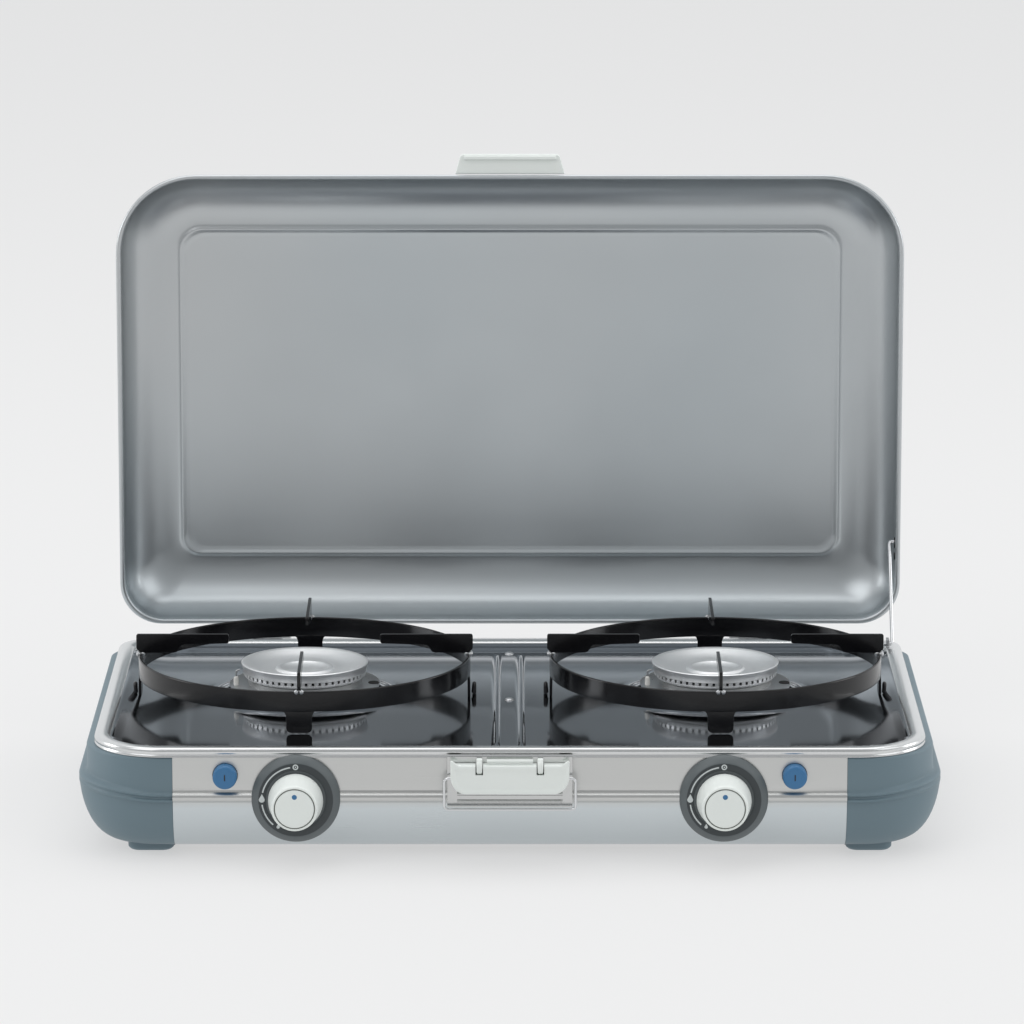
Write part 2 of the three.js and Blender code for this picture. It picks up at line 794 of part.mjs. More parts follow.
function panRing() {
  const bandTop = trayTop + ring.top;
  const bandBottom = bandTop - ring.band;
  const inner = ring.radius - ring.sheet;
  let body = turned([
    [inner, bandBottom],
    [ring.radius, bandBottom],
    [ring.radius, bandTop],
    [inner, bandTop],
    [inner, bandBottom],
  ], 32);
  const legFoot = trayTop + ring.footLift;
  const w = ring.legWidth / 2;
  const shape = new THREE.Shape();
  shape.moveTo(-w, bandBottom + 1);
  shape.lineTo(-w, legFoot + w / 2);
  shape.quadraticCurveTo(-w, legFoot, 0, legFoot);
  shape.quadraticCurveTo(w, legFoot, w, legFoot + w / 2);
  shape.lineTo(w, bandBottom + 1);
  const leg = toFront(shape, -inner + 0.1, -ring.radius + 0.1);
  for (let quarter = 0; quarter < 4; quarter++) {
    body = join(body, leg.rotate([0, 0, 90 * quarter]));
  }
  return body;
}

// One blade, standing on the band at the back of the ring and pointing at the burner.
function armBody() {
  const top = trayTop + arm.top;
  const seat = trayTop + ring.top + gap;
  const shape = polygon([
    [arm.tip, top],
    [arm.tip, top - arm.tipDepth],
    [arm.step, top - arm.tipDepth - 1],
    [arm.step + arm.fall, seat],
    [arm.end - arm.rise, seat],
    [arm.end, seat + arm.rise],
    [arm.end, top],
  ]);
  return alongX(shape, -arm.sheet / 2, arm.sheet / 2);
}

function supportClip() {
  return box(0, clip.thick, -clip.width / 2, clip.width / 2, trayTop + gap, trayTop + clip.height);
}

const ringBody = panRing();
const bladeBody = armBody();
const clipBody = supportClip();
const quarters = ["back", "left", "front", "right"];
for (const side of sides) {
  const at = [side.sign * burnerX, burner.y, 0];
  piece(stove, `${side.name}_pan_ring`, ringBody, finishes.enamel, at);
  quarters.forEach((quarter, i) => {
    const blade = bladeBody.rotate([0, 0, 90 * i]);
    piece(stove, `${side.name}_pan_arm_${quarter}`, blade, finishes.enamel, at);
  });
  for (const way of sides) {
    const turnedClip = way.sign > 0 ? clipBody : clipBody.rotate([0, 0, 180]);
    const x = at[0] + way.sign * (ring.radius + gap);
    piece(stove, `${side.name}_clip_${way.name}`, turnedClip, finishes.black, [x, burner.y, 0]);
  }
}

// ---------------------------------------------------------------- lid and hinges

const rollPlan = {
  width: lidWidth,
  depth: lidDepth,
  frontRadius: lid.frontRadius,
  backRadius: lid.backRadius,
};

// The lid as it lies when shut, mouth down on z = 0.
function lidShell() {
  const wallPlan = {
    width: lidWidth - 2 * lid.roll,
    depth: lidDepth - 2 * lid.roll,
    frontRadius: lid.frontRadius - lid.roll,
    backRadius: lid.backRadius - lid.roll,
  };
  const reach = lidWidth;
  const under = box(-reach, reach, -reach, reach, -reach, 0);
  const rolled = standing(insetPlan(rollPlan, 0), 0, lid.rollHeight);
  const outer = join(cut(cushion(wallPlan, 0, lid.height, lid.fillet), under), rolled);
  return cut(outer, cushion(wallPlan, lid.sheet, lid.height, lid.fillet));
}

function catchBody() {
  const w = catchPlate.foot / 2;
  const head = catchPlate.head / 2;
  const shape = polygon([
    [-w, -gap],
    [w, -gap],
    [head, -catchPlate.height],
    [-head, -catchPlate.height],
  ]);
  const from = catchPlate.setback;
  return standing(shape, from, from + catchPlate.thick);
}

function hingeLeaf() {
  const wallFace = -hinge.behind - lid.roll + gap;
  const outerFace = wallFace + base.sheet;
  const rollTop = mouth + lid.rollHeight;
  const shape = polygon([
    [wallFace, rollTop + 18],
    [outerFace, rollTop + 18],
    [outerFace, rollTop + 4.5],
    [2.5, 3],
    [-2.5, -3],
    [-hinge.behind + 0.7, rollTop + 0.7],
    [wallFace, rollTop + 0.7],
  ]);
  const reach = hinge.leaf / 2;
  const body = join(alongX(shape, -reach, reach), rodX(hinge.knuckle, -reach, reach, 0, 0, 16));
  return cut(body, rodX(hinge.pin + hinge.clearance, -half.x, half.x, 0, 0, 12));
}

function hingeBracket() {
  const face = -hinge.behind + gap;
  const outer = face + base.sheet;
  const inner = hinge.leaf / 2 + hinge.clearance;
  const reach = inner + hinge.ear;
  const backing = polygon([
    [face, -20],
    [outer, -20],
    [outer, -6],
    [face, -6],
  ]);
  const web = polygon([
    [face, -12],
    [outer, -12],
    [3, -2.5],
    [-2.5, 3],
    [face, -5],
  ]);
  let body = join(
    alongX(backing, -reach, reach),
    rodX(hinge.pin, -reach, reach, 0, 0, 12),
  );
  for (const { sign } of sides) {
    const from = sign > 0 ? inner : -reach;
    const to = sign > 0 ? reach : -inner;
    body = join(body, alongX(web, from, to), rodX(hinge.knuckle, from, to, 0, 0, 16));
  }
  return body;
}

const lidGroup = new THREE.Group();
lidGroup.position.set(0, hingeAxis.y, hingeAxis.z);
lidGroup.rotation.x = -Math.PI / 2;
stove.add(lidGroup);

const lidMiddle = -hinge.behind - lidDepth / 2;
const lidFrontEdge = lidMiddle - lidDepth / 2;
piece(lidGroup, "lid_shell", lidShell(), finishes.satin, [0, lidMiddle, mouth]);
piece(lidGroup, "lid_catch", catchBody(), finishes.cream, [0, lidFrontEdge, mouth]);

const leafBody = hingeLeaf();
const bracketBody = hingeBracket();
for (const { name, sign } of sides) {
  const x = sign * hinge.x;
  piece(lidGroup, `${name}_lid_hinge_leaf`, leafBody, finishes.steel, [x, 0, 0]);
  const at = [x, hingeAxis.y, hingeAxis.z];
  piece(stove, `${name}_hinge_bracket`, bracketBody, finishes.steel, at);
}

// ---------------------------------------------------------------- lid stay

// The rod from its lug on the rim to its hook inside the lid, about its own pivot.
function stayRod() {
  const points = [
    [-stay.tail, 0, 0],
    [0, 0, 0],
    [0, stay.reachY, stay.reachZ],
    [stay.hook, stay.reachY, stay.reachZ],
  ];
  return wire(points, stay.radius, stay.bend, 28, 6);
}

function stayBracket() {
  const outer = -stayLug.offset + stayLug.thick / 2;
  const inner = outer - stayLug.thick;
  const floor = gap - stay.lift;
  const w = stayLug.width / 2;
  const f = stayLug.foot / 2;
  const body = join(
    box(inner, outer, -w, w, floor, stayLug.crown),
    box(inner, outer, -f, f, floor, floor + stayLug.footHeight),
  );
  return cut(body, rodX(stay.radius + spindle.clearance, -half.x, half.x, 0, 0, 12));
}

const stayPivot = [stayX, half.y - stay.fromBack, rimTop + stay.lift];
piece(stove, "stay_bracket", stayBracket(), finishes.steel, stayPivot);
piece(stove, "stay_rod", stayRod(), finishes.chrome, stayPivot);

export default stove;
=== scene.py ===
"""Looks of the two-burner camping stove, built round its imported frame.

Every piece is made in metres in the frame's own axes: +X to the right of someone at the knobs, +Y away from
them and +Z up. Pieces take their places from the boxes of the nodes that they stand for.
"""

import json
import logging
import math
from dataclasses import dataclass, field
from enum import Enum
from typing import Any, Callable, Sequence

import bmesh
import bpy
from mathutils import Matrix, Vector


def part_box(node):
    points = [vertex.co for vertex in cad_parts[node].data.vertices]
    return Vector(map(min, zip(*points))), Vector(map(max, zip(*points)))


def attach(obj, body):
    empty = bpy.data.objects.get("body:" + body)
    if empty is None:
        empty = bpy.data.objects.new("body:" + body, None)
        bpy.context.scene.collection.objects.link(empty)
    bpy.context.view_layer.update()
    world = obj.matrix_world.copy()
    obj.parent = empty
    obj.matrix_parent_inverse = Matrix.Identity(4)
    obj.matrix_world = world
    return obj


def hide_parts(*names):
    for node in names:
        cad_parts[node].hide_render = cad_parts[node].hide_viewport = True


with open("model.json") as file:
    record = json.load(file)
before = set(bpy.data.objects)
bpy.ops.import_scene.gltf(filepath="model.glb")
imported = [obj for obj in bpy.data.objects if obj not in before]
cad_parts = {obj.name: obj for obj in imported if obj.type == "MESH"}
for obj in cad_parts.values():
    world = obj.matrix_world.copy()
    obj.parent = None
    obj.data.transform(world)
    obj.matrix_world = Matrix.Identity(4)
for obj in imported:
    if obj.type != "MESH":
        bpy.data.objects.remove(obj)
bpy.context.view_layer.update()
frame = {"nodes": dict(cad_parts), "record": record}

MM = 0.001
SIDES = (("left", -1), ("right", 1))

Point = tuple[float, float, float]
Pair = tuple[float, float]
Colour = tuple[float, float, float]

log = logging.getLogger("stove")


# ------------------------------------------------------------------ shader arithmetic


class Value:
    """A shader socket that takes part in arithmetic."""

    def __init__(self, shader: "Shader", socket: bpy.types.NodeSocket) -> None:
        """Keeps the socket and the shader that it belongs to."""
        self.shader = shader
        self.socket = socket

    def _math(self, operation: str, first: Any, second: Any) -> "Value":
        """Adds one Math node."""
        return self.shader.node("ShaderNodeMath", {"operation": operation}, {0: first, 1: second})

    def __add__(self, other: Any) -> "Value":
        """Sum."""
        return self._math("ADD", self, other)

    def __radd__(self, other: Any) -> "Value":
        """Reflected sum."""
        return self._math("ADD", other, self)

    def __sub__(self, other: Any) -> "Value":
        """Difference."""
        return self._math("SUBTRACT", self, other)

    def __rsub__(self, other: Any) -> "Value":
        """Reflected difference."""
        return self._math("SUBTRACT", other, self)

    def __mul__(self, other: Any) -> "Value":
        """Product."""
        return self._math("MULTIPLY", self, other)

    def __rmul__(self, other: Any) -> "Value":
        """Reflected product."""
        return self._math("MULTIPLY", other, self)

    def __pow__(self, other: Any) -> "Value":
        """Power."""
        return self._math("POWER", self, other)


class Shader:
    """A material's node tree, with one way to add any node."""

    def __init__(self, name: str) -> None:
        """Makes an empty material.

        Args:
            name: The material's name.
        """
        self.material = bpy.data.materials.new(name)
        self.material.use_nodes = True
        self.tree = self.material.node_tree
        self.tree.nodes.clear()

    def node(
        self, kind: str, settings: dict[str, Any] | None = None, inputs: dict | None = None, output: Any = 0
    ) -> Value:
        """Adds a node.

        Args:
            kind: The node's type.
            settings: Its settings, set before its sockets; "stops" are a colour ramp's stops.
            inputs: Values or links for its sockets, by name or index.
            output: Which output to hand back.

        Returns:
            The output as a Value.
        """
        made = self.tree.nodes.new(kind)
        for key, setting in (settings or {}).items():
            if key == "stops":
                self._stops(made.color_ramp, setting)
            else:
                setattr(made, key, setting)
        for key, given in (inputs or {}).items():
            socket = made.inputs[key]
            if isinstance(given, Value):
                self.tree.links.new(given.socket, socket)
            else:
                socket.default_value = given
        return Value(self, made.outputs[output]) if len(made.outputs) else Value(self, None)

    @staticmethod
    def _stops(ramp: bpy.types.ColorRamp, stops: Sequence[tuple[float, float]]) -> None:
        """Sets a ramp's stops as grey levels."""
        while len(ramp.elements) < len(stops):
            ramp.elements.new(0.5)
        for element, (place, level) in zip(ramp.elements, stops):
            element.position = place
            element.color = (level, level, level, 1)

    def place(self, stretch: Point = (1, 1, 1), centre: Point = (0, 0, 0)) -> Value:
        """Object coordinates about a centre, scaled along each axis.

        Args:
            stretch: The scale along X, Y and Z.
            centre: The point that the pattern is centred on.

        Returns:
            The coordinates.
        """
        where = self.node("ShaderNodeTexCoord", output="Object")
        away = tuple(-c * s for c, s in zip(centre, stretch))
        return self.node("ShaderNodeMapping", {}, {"Vector": where, "Location": away, "Scale": stretch})

    def noise(self, scale: float, detail: float = 2, stretch: Point = (1, 1, 1)) -> Value:
        """Noise from 0 to 1 on object coordinates.

        Args:
            scale: Features per metre.
            detail: Octaves.
            stretch: The scale along each axis.

        Returns:
            The noise's factor.
        """
        inputs = {"Vector": self.place(stretch), "Scale": scale, "Detail": detail}
        return self.node("ShaderNodeTexNoise", {}, inputs)

    def mix(self, factor: Any, first: Any, second: Any) -> Value:
        """Mixes two colours.

        Args:
            factor: How much of the second colour.
            first: A colour or a link.
            second: A colour or a link.

        Returns:
            The mixed colour.
        """
        return self.node("ShaderNodeMix", {"data_type": "RGBA"}, {0: factor, 6: first, 7: second}, 2)

    def bump(self, height: Value, strength: float, distance: float) -> Value:
        """A normal from a height.

        Args:
            height: The height, from 0 to 1.
            strength: How strong the bump is.
            distance: The height in metres that 1 stands for.

        Returns:
            The normal.
        """
        return self.node("ShaderNodeBump", {}, {"Height": height, "Strength": strength, "Distance": distance})

    def close(self, inputs: dict[str, Any]) -> bpy.types.Material:
        """Adds the surface shader and the output.

        Args:
            inputs: Values or links for the surface shader.

        Returns:
            The finished material.
        """
        surface = self.node("ShaderNodeBsdfPrincipled", {}, inputs)
        self.node("ShaderNodeOutputMaterial", {}, {"Surface": surface})
        return self.material


# ------------------------------------------------------------------ finishes


class Grain(Enum):
    """How a surface is worked."""

    BRUSHED = "brushed along X"
    SATIN = "satin rolled sheet"
    POLISHED = "polished"
    CAST = "cast"
    TURNED = "turned on a lathe"
    MOULDED = "moulded with a fine texture"
    ENAMEL = "fired enamel"
    SMOOTH = "smooth moulded"


def shade(colour: Colour, level: float) -> tuple[float, float, float, float]:
    """A colour made lighter or darker, with alpha 1."""
    return (min(colour[0] * level, 1), min(colour[1] * level, 1), min(colour[2] * level, 1), 1)


@dataclass(frozen=True)
class Finish:
    """One finish: a colour, how it is worked and how rough it is."""

    name: str
    slot: str
    colour: Colour
    grain: Grain
    roughness: float = 0.4
    metallic: float = 0.0
    coat: float = 0.0
    centre: Point = (0, 0, 0)
    vary: float = 0.08
    tone_and_reflection_tint: Colour | None = None
    specular: float = 0.5
    reflection_heights: Pair | None = None

    def material(self) -> bpy.types.Material:
        """The material, made once for each name."""
        known = bpy.data.materials.get(self.name)
        if known:
            return known
        shader = Shader(self.name)
        height, strength, distance = self._relief(shader)
        patches = shader.noise(14, 3)
        mask = patches * 0.7 + height * 0.3
        base = shader.mix(mask, shade(self.colour, 1 - self.vary), shade(self.colour, 1 + self.vary))
        # A tint washed over the colour: broad patches of tone on the lid, and on the panel a painted reflection of the
        # light from below, low on its belly.
        if self.tone_and_reflection_tint:
            base = shader.mix(self._wash(shader), base, shade(self.tone_and_reflection_tint, 1))
        rough = patches * (0.35 * self.roughness) + height * (0.25 * self.roughness) + 0.7 * self.roughness
        inputs = {
            "Base Color": base,
            "Roughness": rough,
            "Metallic": self.metallic,
            "Coat Weight": self.coat,
            "Specular IOR Level": self.specular,
            "Coat Roughness": 0.06,
            "Normal": shader.bump(height, strength, distance),
        }
        return shader.close(inputs)

    def _wash(self, shader: Shader) -> Value:
        """How much of the tint shows: by height where reflection heights are given, for a painted reflection low on a
        sheet, or else in broad soft patches of tone.
        """
        if self.reflection_heights is None:
            return shader.node("ShaderNodeValToRGB", {"stops": ((0.3, 0.0), (0.75, 1.0))}, {0: shader.noise(3, 1)})
        parts = shader.node("ShaderNodeSeparateXYZ", {}, {0: shader.place()}, "Z")
        bounds = {"Value": parts, "From Min": self.reflection_heights[0], "From Max": self.reflection_heights[1]}
        return shader.node("ShaderNodeMapRange", {}, bounds)

    def _relief(self, shader: Shader) -> tuple[Value, float, float]:
        """The fine relief: its height from 0 to 1, the bump's strength and its distance in metres."""
        if self.grain is Grain.BRUSHED:
            return shader.noise(1, 4, (6, 1500, 1500)), 0.35, 0.02 * MM
        if self.grain is Grain.SATIN:
            return shader.noise(900, 3), 0.2, 0.03 * MM
        if self.grain is Grain.POLISHED:
            return shader.noise(1, 3, (40, 700, 90)), 0.1, 0.01 * MM
        if self.grain is Grain.CAST:
            return shader.noise(1100, 5), 0.5, 0.08 * MM
        if self.grain is Grain.TURNED:
            return self._rings(shader), 0.4, 0.03 * MM
        if self.grain is Grain.MOULDED:
            return shader.noise(2200, 3), 0.45, 0.05 * MM
        if self.grain is Grain.ENAMEL:
            return shader.noise(160, 3), 0.35, 0.1 * MM
        return shader.noise(420, 2), 0.15, 0.03 * MM

    def _rings(self, shader: Shader) -> Value:
        """Fine circles about the vertical axis through the centre."""
        flat = shader.place((1, 1, 0), self.centre)
        reach = shader.node("ShaderNodeVectorMath", {"operation": "LENGTH"}, {0: flat}, "Value")
        settings = {"noise_dimensions": "1D"}
        return shader.node("ShaderNodeTexNoise", settings, {"W": reach, "Scale": 2600, "Detail": 2})


class Finishes:
    """The stove's finishes."""

    lid = Finish("satin_lid_sheet", "lid_metal", (0.52, 0.54, 0.55), Grain.SATIN, 0.33, 1, 0, vary=0.02,
                 tone_and_reflection_tint=(0.475, 0.52, 0.545))
    # Painted reflection: below 40 mm the panel fades into a cool bluish-white tint, full from 34 mm down, standing for
    # the light from below reflected in its belly.
    panel = Finish("brushed_panel_sheet", "brushed_panel", (0.58, 0.585, 0.575), Grain.BRUSHED, 0.3, 1,
                   vary=0.05, tone_and_reflection_tint=(0.60, 0.645, 0.665), reflection_heights=(0.040, 0.034))
    rim = Finish("satin_rim", "frame_metal", (0.70, 0.71, 0.71), Grain.BRUSHED, 0.24, 1, vary=0.04)
    tray = Finish("polished_tray_sheet", "tray_steel", (0.265, 0.285, 0.31), Grain.POLISHED, 0.085, 1, vary=0.05)
    cap_plastic = Finish("end_cap_moulding", "end_cap_plastic", (0.136, 0.197, 0.23), Grain.MOULDED, 0.48, 0, vary=0.06)
    enamel = Finish("black_enamel", "enamel", (0.005, 0.005, 0.006), Grain.ENAMEL, 0.15, 0, 0, vary=0.2, specular=0.36)
    steel = Finish("plated_steel", "steel", (0.50, 0.51, 0.52), Grain.SATIN, 0.3, 1)
    pressed = Finish("bright_pressed_plate", "steel", (0.58, 0.585, 0.58), Grain.POLISHED, 0.18, 1)
    chrome = Finish("bright_wire", "chrome", (0.70, 0.71, 0.72), Grain.POLISHED, 0.1, 1, vary=0.03)
    brass = Finish("machined_brass", "brass", (0.60, 0.45, 0.17), Grain.TURNED, 0.3, 1)
    cast = Finish("cast_burner_alloy", "burner_alloy", (0.50, 0.51, 0.51), Grain.CAST, 0.42, 1)
    charcoal = Finish("charcoal_bezel", "bezel_plastic", (0.036, 0.044, 0.048), Grain.MOULDED, 0.42, 0)
    # Painted highlight: the bezel's bevelled rim takes a lighter grey than its charcoal face, a lit copy of the same
    # moulding.
    bezel_rim_highlight = Finish("grey_bezel_side", "bezel_plastic", (0.105, 0.122, 0.128), Grain.MOULDED, 0.38, 0)
    cream = Finish("white_moulding", "white_plastic", (0.80, 0.84, 0.81), Grain.SMOOTH, 0.35, 0, 0.05, vary=0.02)
    blue = Finish("blue_moulding", "blue_plastic", (0.035, 0.155, 0.33), Grain.SMOOTH, 0.38, 0, 0.05, vary=0.06)
    ink = Finish("dial_ink", "white_plastic", (0.58, 0.62, 0.62), Grain.SMOOTH, 0.5)
    groove = Finish("knob_groove_shadow", "black_plastic", (0.16, 0.17, 0.155), Grain.SMOOTH, 0.6)
    rubber = Finish("foot_rubber", "rubber", (0.02, 0.022, 0.024), Grain.MOULDED, 0.8)
    black = Finish("black_moulding", "black_plastic", (0.012, 0.012, 0.014), Grain.MOULDED, 0.45)
    ceramic = Finish("electrode_ceramic", "ceramic", (0.84, 0.83, 0.79), Grain.SMOOTH, 0.25, 0, 0.3, vary=0.03)
    # Painted shade: a near-black finish for thin pieces set where holes, ports and slots lie in shade.
    hole_shade = Finish("port_shadow", "black_plastic", (0.008, 0.008, 0.008), Grain.CAST, 0.9)

    @staticmethod
    def turned(side: str, centre: Point) -> Finish:
        """The turned alloy of one burner, with its circles about that burner's axis."""
        name = f"turned_burner_alloy_{side}"
        return Finish(name, "burner_alloy", (0.84, 0.85, 0.855), Grain.TURNED, 0.45, 1, 0, centre, 0.04)


# ------------------------------------------------------------------ mesh making


@dataclass(frozen=True)
class Span:
    """A node's box."""

    low: Vector
    high: Vector

    @staticmethod
    def of(node: str) -> "Span":
        """The box of a node at rest."""
        low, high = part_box(node)
        return Span(Vector(low), Vector(high))

    @property
    def middle(self) -> Vector:
        """The box's centre."""
        return (self.low + self.high) / 2

    @property
    def size(self) -> Vector:
        """The box's sides."""
        return self.high - self.low


@dataclass
class Mould:
    """Collects the vertices and faces of one piece."""

    verts: list[Point] = field(default_factory=list)
    faces: list[tuple[int, ...]] = field(default_factory=list)

    def skin(self, loops: Sequence[Sequence[Point]], closed: bool = False) -> "Mould":
        """Skins loops that have the same number of points.

        Args:
            loops: The loops in order.
            closed: Whether the last loop joins the first; otherwise both ends are capped.

        Returns:
            The mould itself.
        """
        start = len(self.verts)
        size = len(loops[0])
        for loop in loops:
            self.verts.extend(tuple(p) for p in loop)
        for i in range(len(loops) if closed else len(loops) - 1):
            a = start + i * size
            b = start + (i + 1) % len(loops) * size
            for j in range(size):
                k = (j + 1) % size
                self.faces.append((a + j, a + k, b + k, b + j))
        if not closed:
            end = start + (len(loops) - 1) * size
            self.faces.append(tuple(start + j for j in reversed(range(size))))
            self.faces.append(tuple(end + j for j in range(size)))
        return self

    def turn(self, profile: Sequence[Pair], centre: Point, facing: str = "up", sides: int = 96) -> "Mould":
        """Turns a profile about an axis.

        Args:
            profile: Pairs of radius and height; it closes on itself unless its ends are on the axis.
            centre: The point on the axis that heights count from.
            facing: "up" for +Z, "front" for -Y or "side" for +X.
            sides: Points in a full turn.

        Returns:
            The mould itself.
        """
        closed = profile[0][0] > 0
        tiny = 0.02 * MM
        loops = []
        for radius, height in profile:
            r = max(radius, tiny)
            loop = []
            for i in range(sides):
                a = 2 * math.pi * i / sides
                across, along = r * math.cos(a), r * math.sin(a)
                if facing == "up":
                    loop.append((centre[0] + across, centre[1] + along, centre[2] + height))
                elif facing == "side":
                    loop.append((centre[0] + height, centre[1] + across, centre[2] + along))
                else:
                    loop.append((centre[0] + across, centre[1] - height, centre[2] + along))
            loops.append(loop)
        return self.skin(loops, closed)

    def slab(self, outline: Sequence[Pair], put: Callable[[float, float, float], Point], depth: float) -> "Mould":
        """Extrudes an outline.

        Args:
            outline: Points in the outline's own plane.
            put: Turns the outline's two coordinates and a depth into a place.
            depth: How deep the slab is.

        Returns:
            The mould itself.
        """
        return self.skin([[put(u, v, 0) for u, v in outline], [put(u, v, depth) for u, v in outline]])

    def wire(self, path: Sequence[Vector], radius: float, sides: int = 14) -> "Mould":
        """Sweeps a round section along a path.

        Args:
            path: Points along the wire's middle.
            radius: The wire's radius.
            sides: Points round the wire.

        Returns:
            The mould itself.
        """
        normal = None
        loops = []
        for i, at in enumerate(path):
            ahead = (path[min(i + 1, len(path) - 1)] - path[max(i - 1, 0)]).normalized()
            if normal is None:
                normal = ahead.orthogonal().normalized()
            normal = (normal - ahead * normal.dot(ahead)).normalized()
            other = ahead.cross(normal)
            turns = [2 * math.pi * j / sides for j in range(sides)]
            loops.append([tuple(at + (normal * math.cos(a) + other * math.sin(a)) * radius) for a in turns])
        return self.skin(loops)

    def grid(self, xs: Sequence[float], ys: Sequence[float], height: Callable[[float, float], float | None]) -> "Mould":
        """Makes a sheet over a grid.

        Args:
            xs: Places along X.
            ys: Places along Y.
            height: The height at a point, or None where there is no sheet.

        Returns:
            The mould itself.
        """
        index: dict[tuple[int, int], int] = {}
        for i, x in enumerate(xs):
            for j, y in enumerate(ys):
                z = height(x, y)
                if z is not None:
                    index[i, j] = len(self.verts)
                    self.verts.append((x, y, z))
        for i in range(len(xs) - 1):
            for j in range(len(ys) - 1):
                corners = [index.get(c) for c in ((i, j), (i + 1, j), (i + 1, j + 1), (i, j + 1))]
                if None not in corners:
                    self.faces.append(tuple(corners))
        return self

    def to_bmesh(self, outward: bool = True) -> bmesh.types.BMesh:
        """A bmesh with doubles merged and, for a closed piece, its normals outwards."""
        mesh = bpy.data.meshes.new("mould")
        mesh.from_pydata(self.verts, [], self.faces)
        made = bmesh.new()
        made.from_mesh(mesh)
        bpy.data.meshes.remove(mesh)
        bmesh.ops.remove_doubles(made, verts=made.verts, dist=0.001 * MM)
        if outward:
            bmesh.ops.recalc_face_normals(made, faces=made.faces)
        return made


@dataclass(frozen=True)
class Fit:
    """How a piece is finished and fitted to the frame."""

    body: str
    finish: Finish
    replaces: tuple[str, ...] = ()
    bevel: float = 0.0
    crease: float = 34.0
    thickness: float = 0.0


def fitted(name: str, made: bmesh.types.BMesh | Mould, fit: Fit) -> bpy.types.Object:
    """Makes an object, shades it and fits it to the frame.

    Args:
        name: The piece's name.
        made: Its mesh.
        fit: Its body, finish, replaced nodes and edge treatment.

    Returns:
        The object.
    """
    if isinstance(made, Mould):
        made = made.to_bmesh()
    mesh = bpy.data.meshes.new(name)
    made.to_mesh(mesh)
    made.free()
    return fit_mesh(name, mesh, fit)


def fit_mesh(name: str, mesh: bpy.types.Mesh, fit: Fit) -> bpy.types.Object:
    """Args:
        name: The piece's name.
        mesh: Its mesh.
        fit: Its body, finish, replaced nodes and edge treatment.

    Returns:
        The object.
    """
    piece = bpy.data.objects.new(name, mesh)
    bpy.context.scene.collection.objects.link(piece)
    mesh.materials.clear()
    mesh.materials.append(fit.finish.material())
    mesh.shade_smooth()
    mesh.set_sharp_from_angle(angle=math.radians(fit.crease))
    if fit.thickness:
        solidify = piece.modifiers.new("sheet", "SOLIDIFY")
        solidify.thickness = fit.thickness
        solidify.offset = -1
    if fit.bevel:
        bevel = piece.modifiers.new("edges", "BEVEL")
        bevel.width = fit.bevel
        bevel.segments = 3
        bevel.limit_method = "ANGLE"
        bevel.angle_limit = math.radians(32)
        bevel.harden_normals = True
    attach(piece, fit.body)
    if fit.replaces:
        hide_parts(*fit.replaces)
    log.info("%s rides on %s", name, fit.body)
    return piece


def carve(piece: bpy.types.Object, tool: Mould, crease: float) -> None:
    """Cuts a closed shape out of a piece and keeps the result as a plain mesh.

    Args:
        piece: The piece to cut.
        tool: The shape that is taken away.
        crease: The angle in degrees above which an edge stays sharp.
    """
    mesh = bpy.data.meshes.new("carving_tool")
    made = tool.to_bmesh()
    made.to_mesh(mesh)
    made.free()
    cutter = bpy.data.objects.new("carving_tool", mesh)
    bpy.context.scene.collection.objects.link(cutter)
    boolean = piece.modifiers.new("holes", "BOOLEAN")
    boolean.object = cutter
    boolean.solver = "EXACT"
    graph = bpy.context.evaluated_depsgraph_get()
    graph.update()
    cut = bpy.data.meshes.new_from_object(piece.evaluated_get(graph))
    piece.modifiers.clear()
    cut.materials.clear()
    cut.materials.append(piece.data.materials[0])
    piece.data = cut
    cut.shade_smooth()
    cut.set_sharp_from_angle(angle=math.radians(crease))
    bpy.data.objects.remove(cutter)


def refined(node: str, body: str, finish: Finish, bevel: float) -> bpy.types.Object:
    """A node's own shape with merged faces and softened edges.

    Args:
        node: The node that it stands for.
        body: The body that it rides on.
        finish: Its finish.
        bevel: The width of the softened edges.

    Returns:
        The object.
    """
    made = bmesh.new()
    made.from_mesh(frame["nodes"][node].data)
    bmesh.ops.remove_doubles(made, verts=made.verts, dist=0.01 * MM)
    bmesh.ops.dissolve_limit(made, angle_limit=math.radians(1.5), verts=made.verts, edges=made.edges)
    return fitted(f"{node}_fine", made, Fit(body, finish, (node,), bevel))


def rounded(width: float, depth: float, front: float, back: float, steps: int = 12, along: int = 6) -> list[Pair]:
    """A rounded rectangle about the origin.

    Args:
        width: Its size along the first coordinate.
        depth: Its size along the second.
        front: The radius of the two corners at the low end of the second coordinate.
        back: The radius of the other two.
        steps: Divisions in each corner.
        along: Divisions in each straight side.

    Returns:
        Its points, anticlockwise, always as many for the same divisions.
    """
    x, y = width / 2, depth / 2
    corners = [
        (x - front, -y + front, front, -90),
        (x - back, y - back, back, 0),
        (-x + back, y - back, back, 90),
        (-x + front, -y + front, front, 180),
    ]
    points: list[Pair] = []
    for cx, cy, radius, start in corners:
        for i in range(steps + 1):
            a = math.radians(start + 90 * i / steps)
            points.append((cx + radius * math.cos(a), cy + radius * math.sin(a)))
    filled: list[Pair] = []
    for i, point in enumerate(points):
        filled.append(point)
        if i % (steps + 1) == steps:
            after = points[(i + 1) % len(points)]
            for j in range(1, along):
                t = j / along
                filled.append((point[0] + (after[0] - point[0]) * t, point[1] + (after[1] - point[1]) * t))
    return filled


def arc(cx: float, cy: float, rx: float, ry: float, start: float, end: float, steps: int) -> list[Pair]:
    """Points on a stretch of an ellipse, with its angles in degrees."""
    angles = [math.radians(start + (end - start) * i / steps) for i in range(steps + 1)]
    return [(cx + rx * math.cos(a), cy + ry * math.sin(a)) for a in angles]


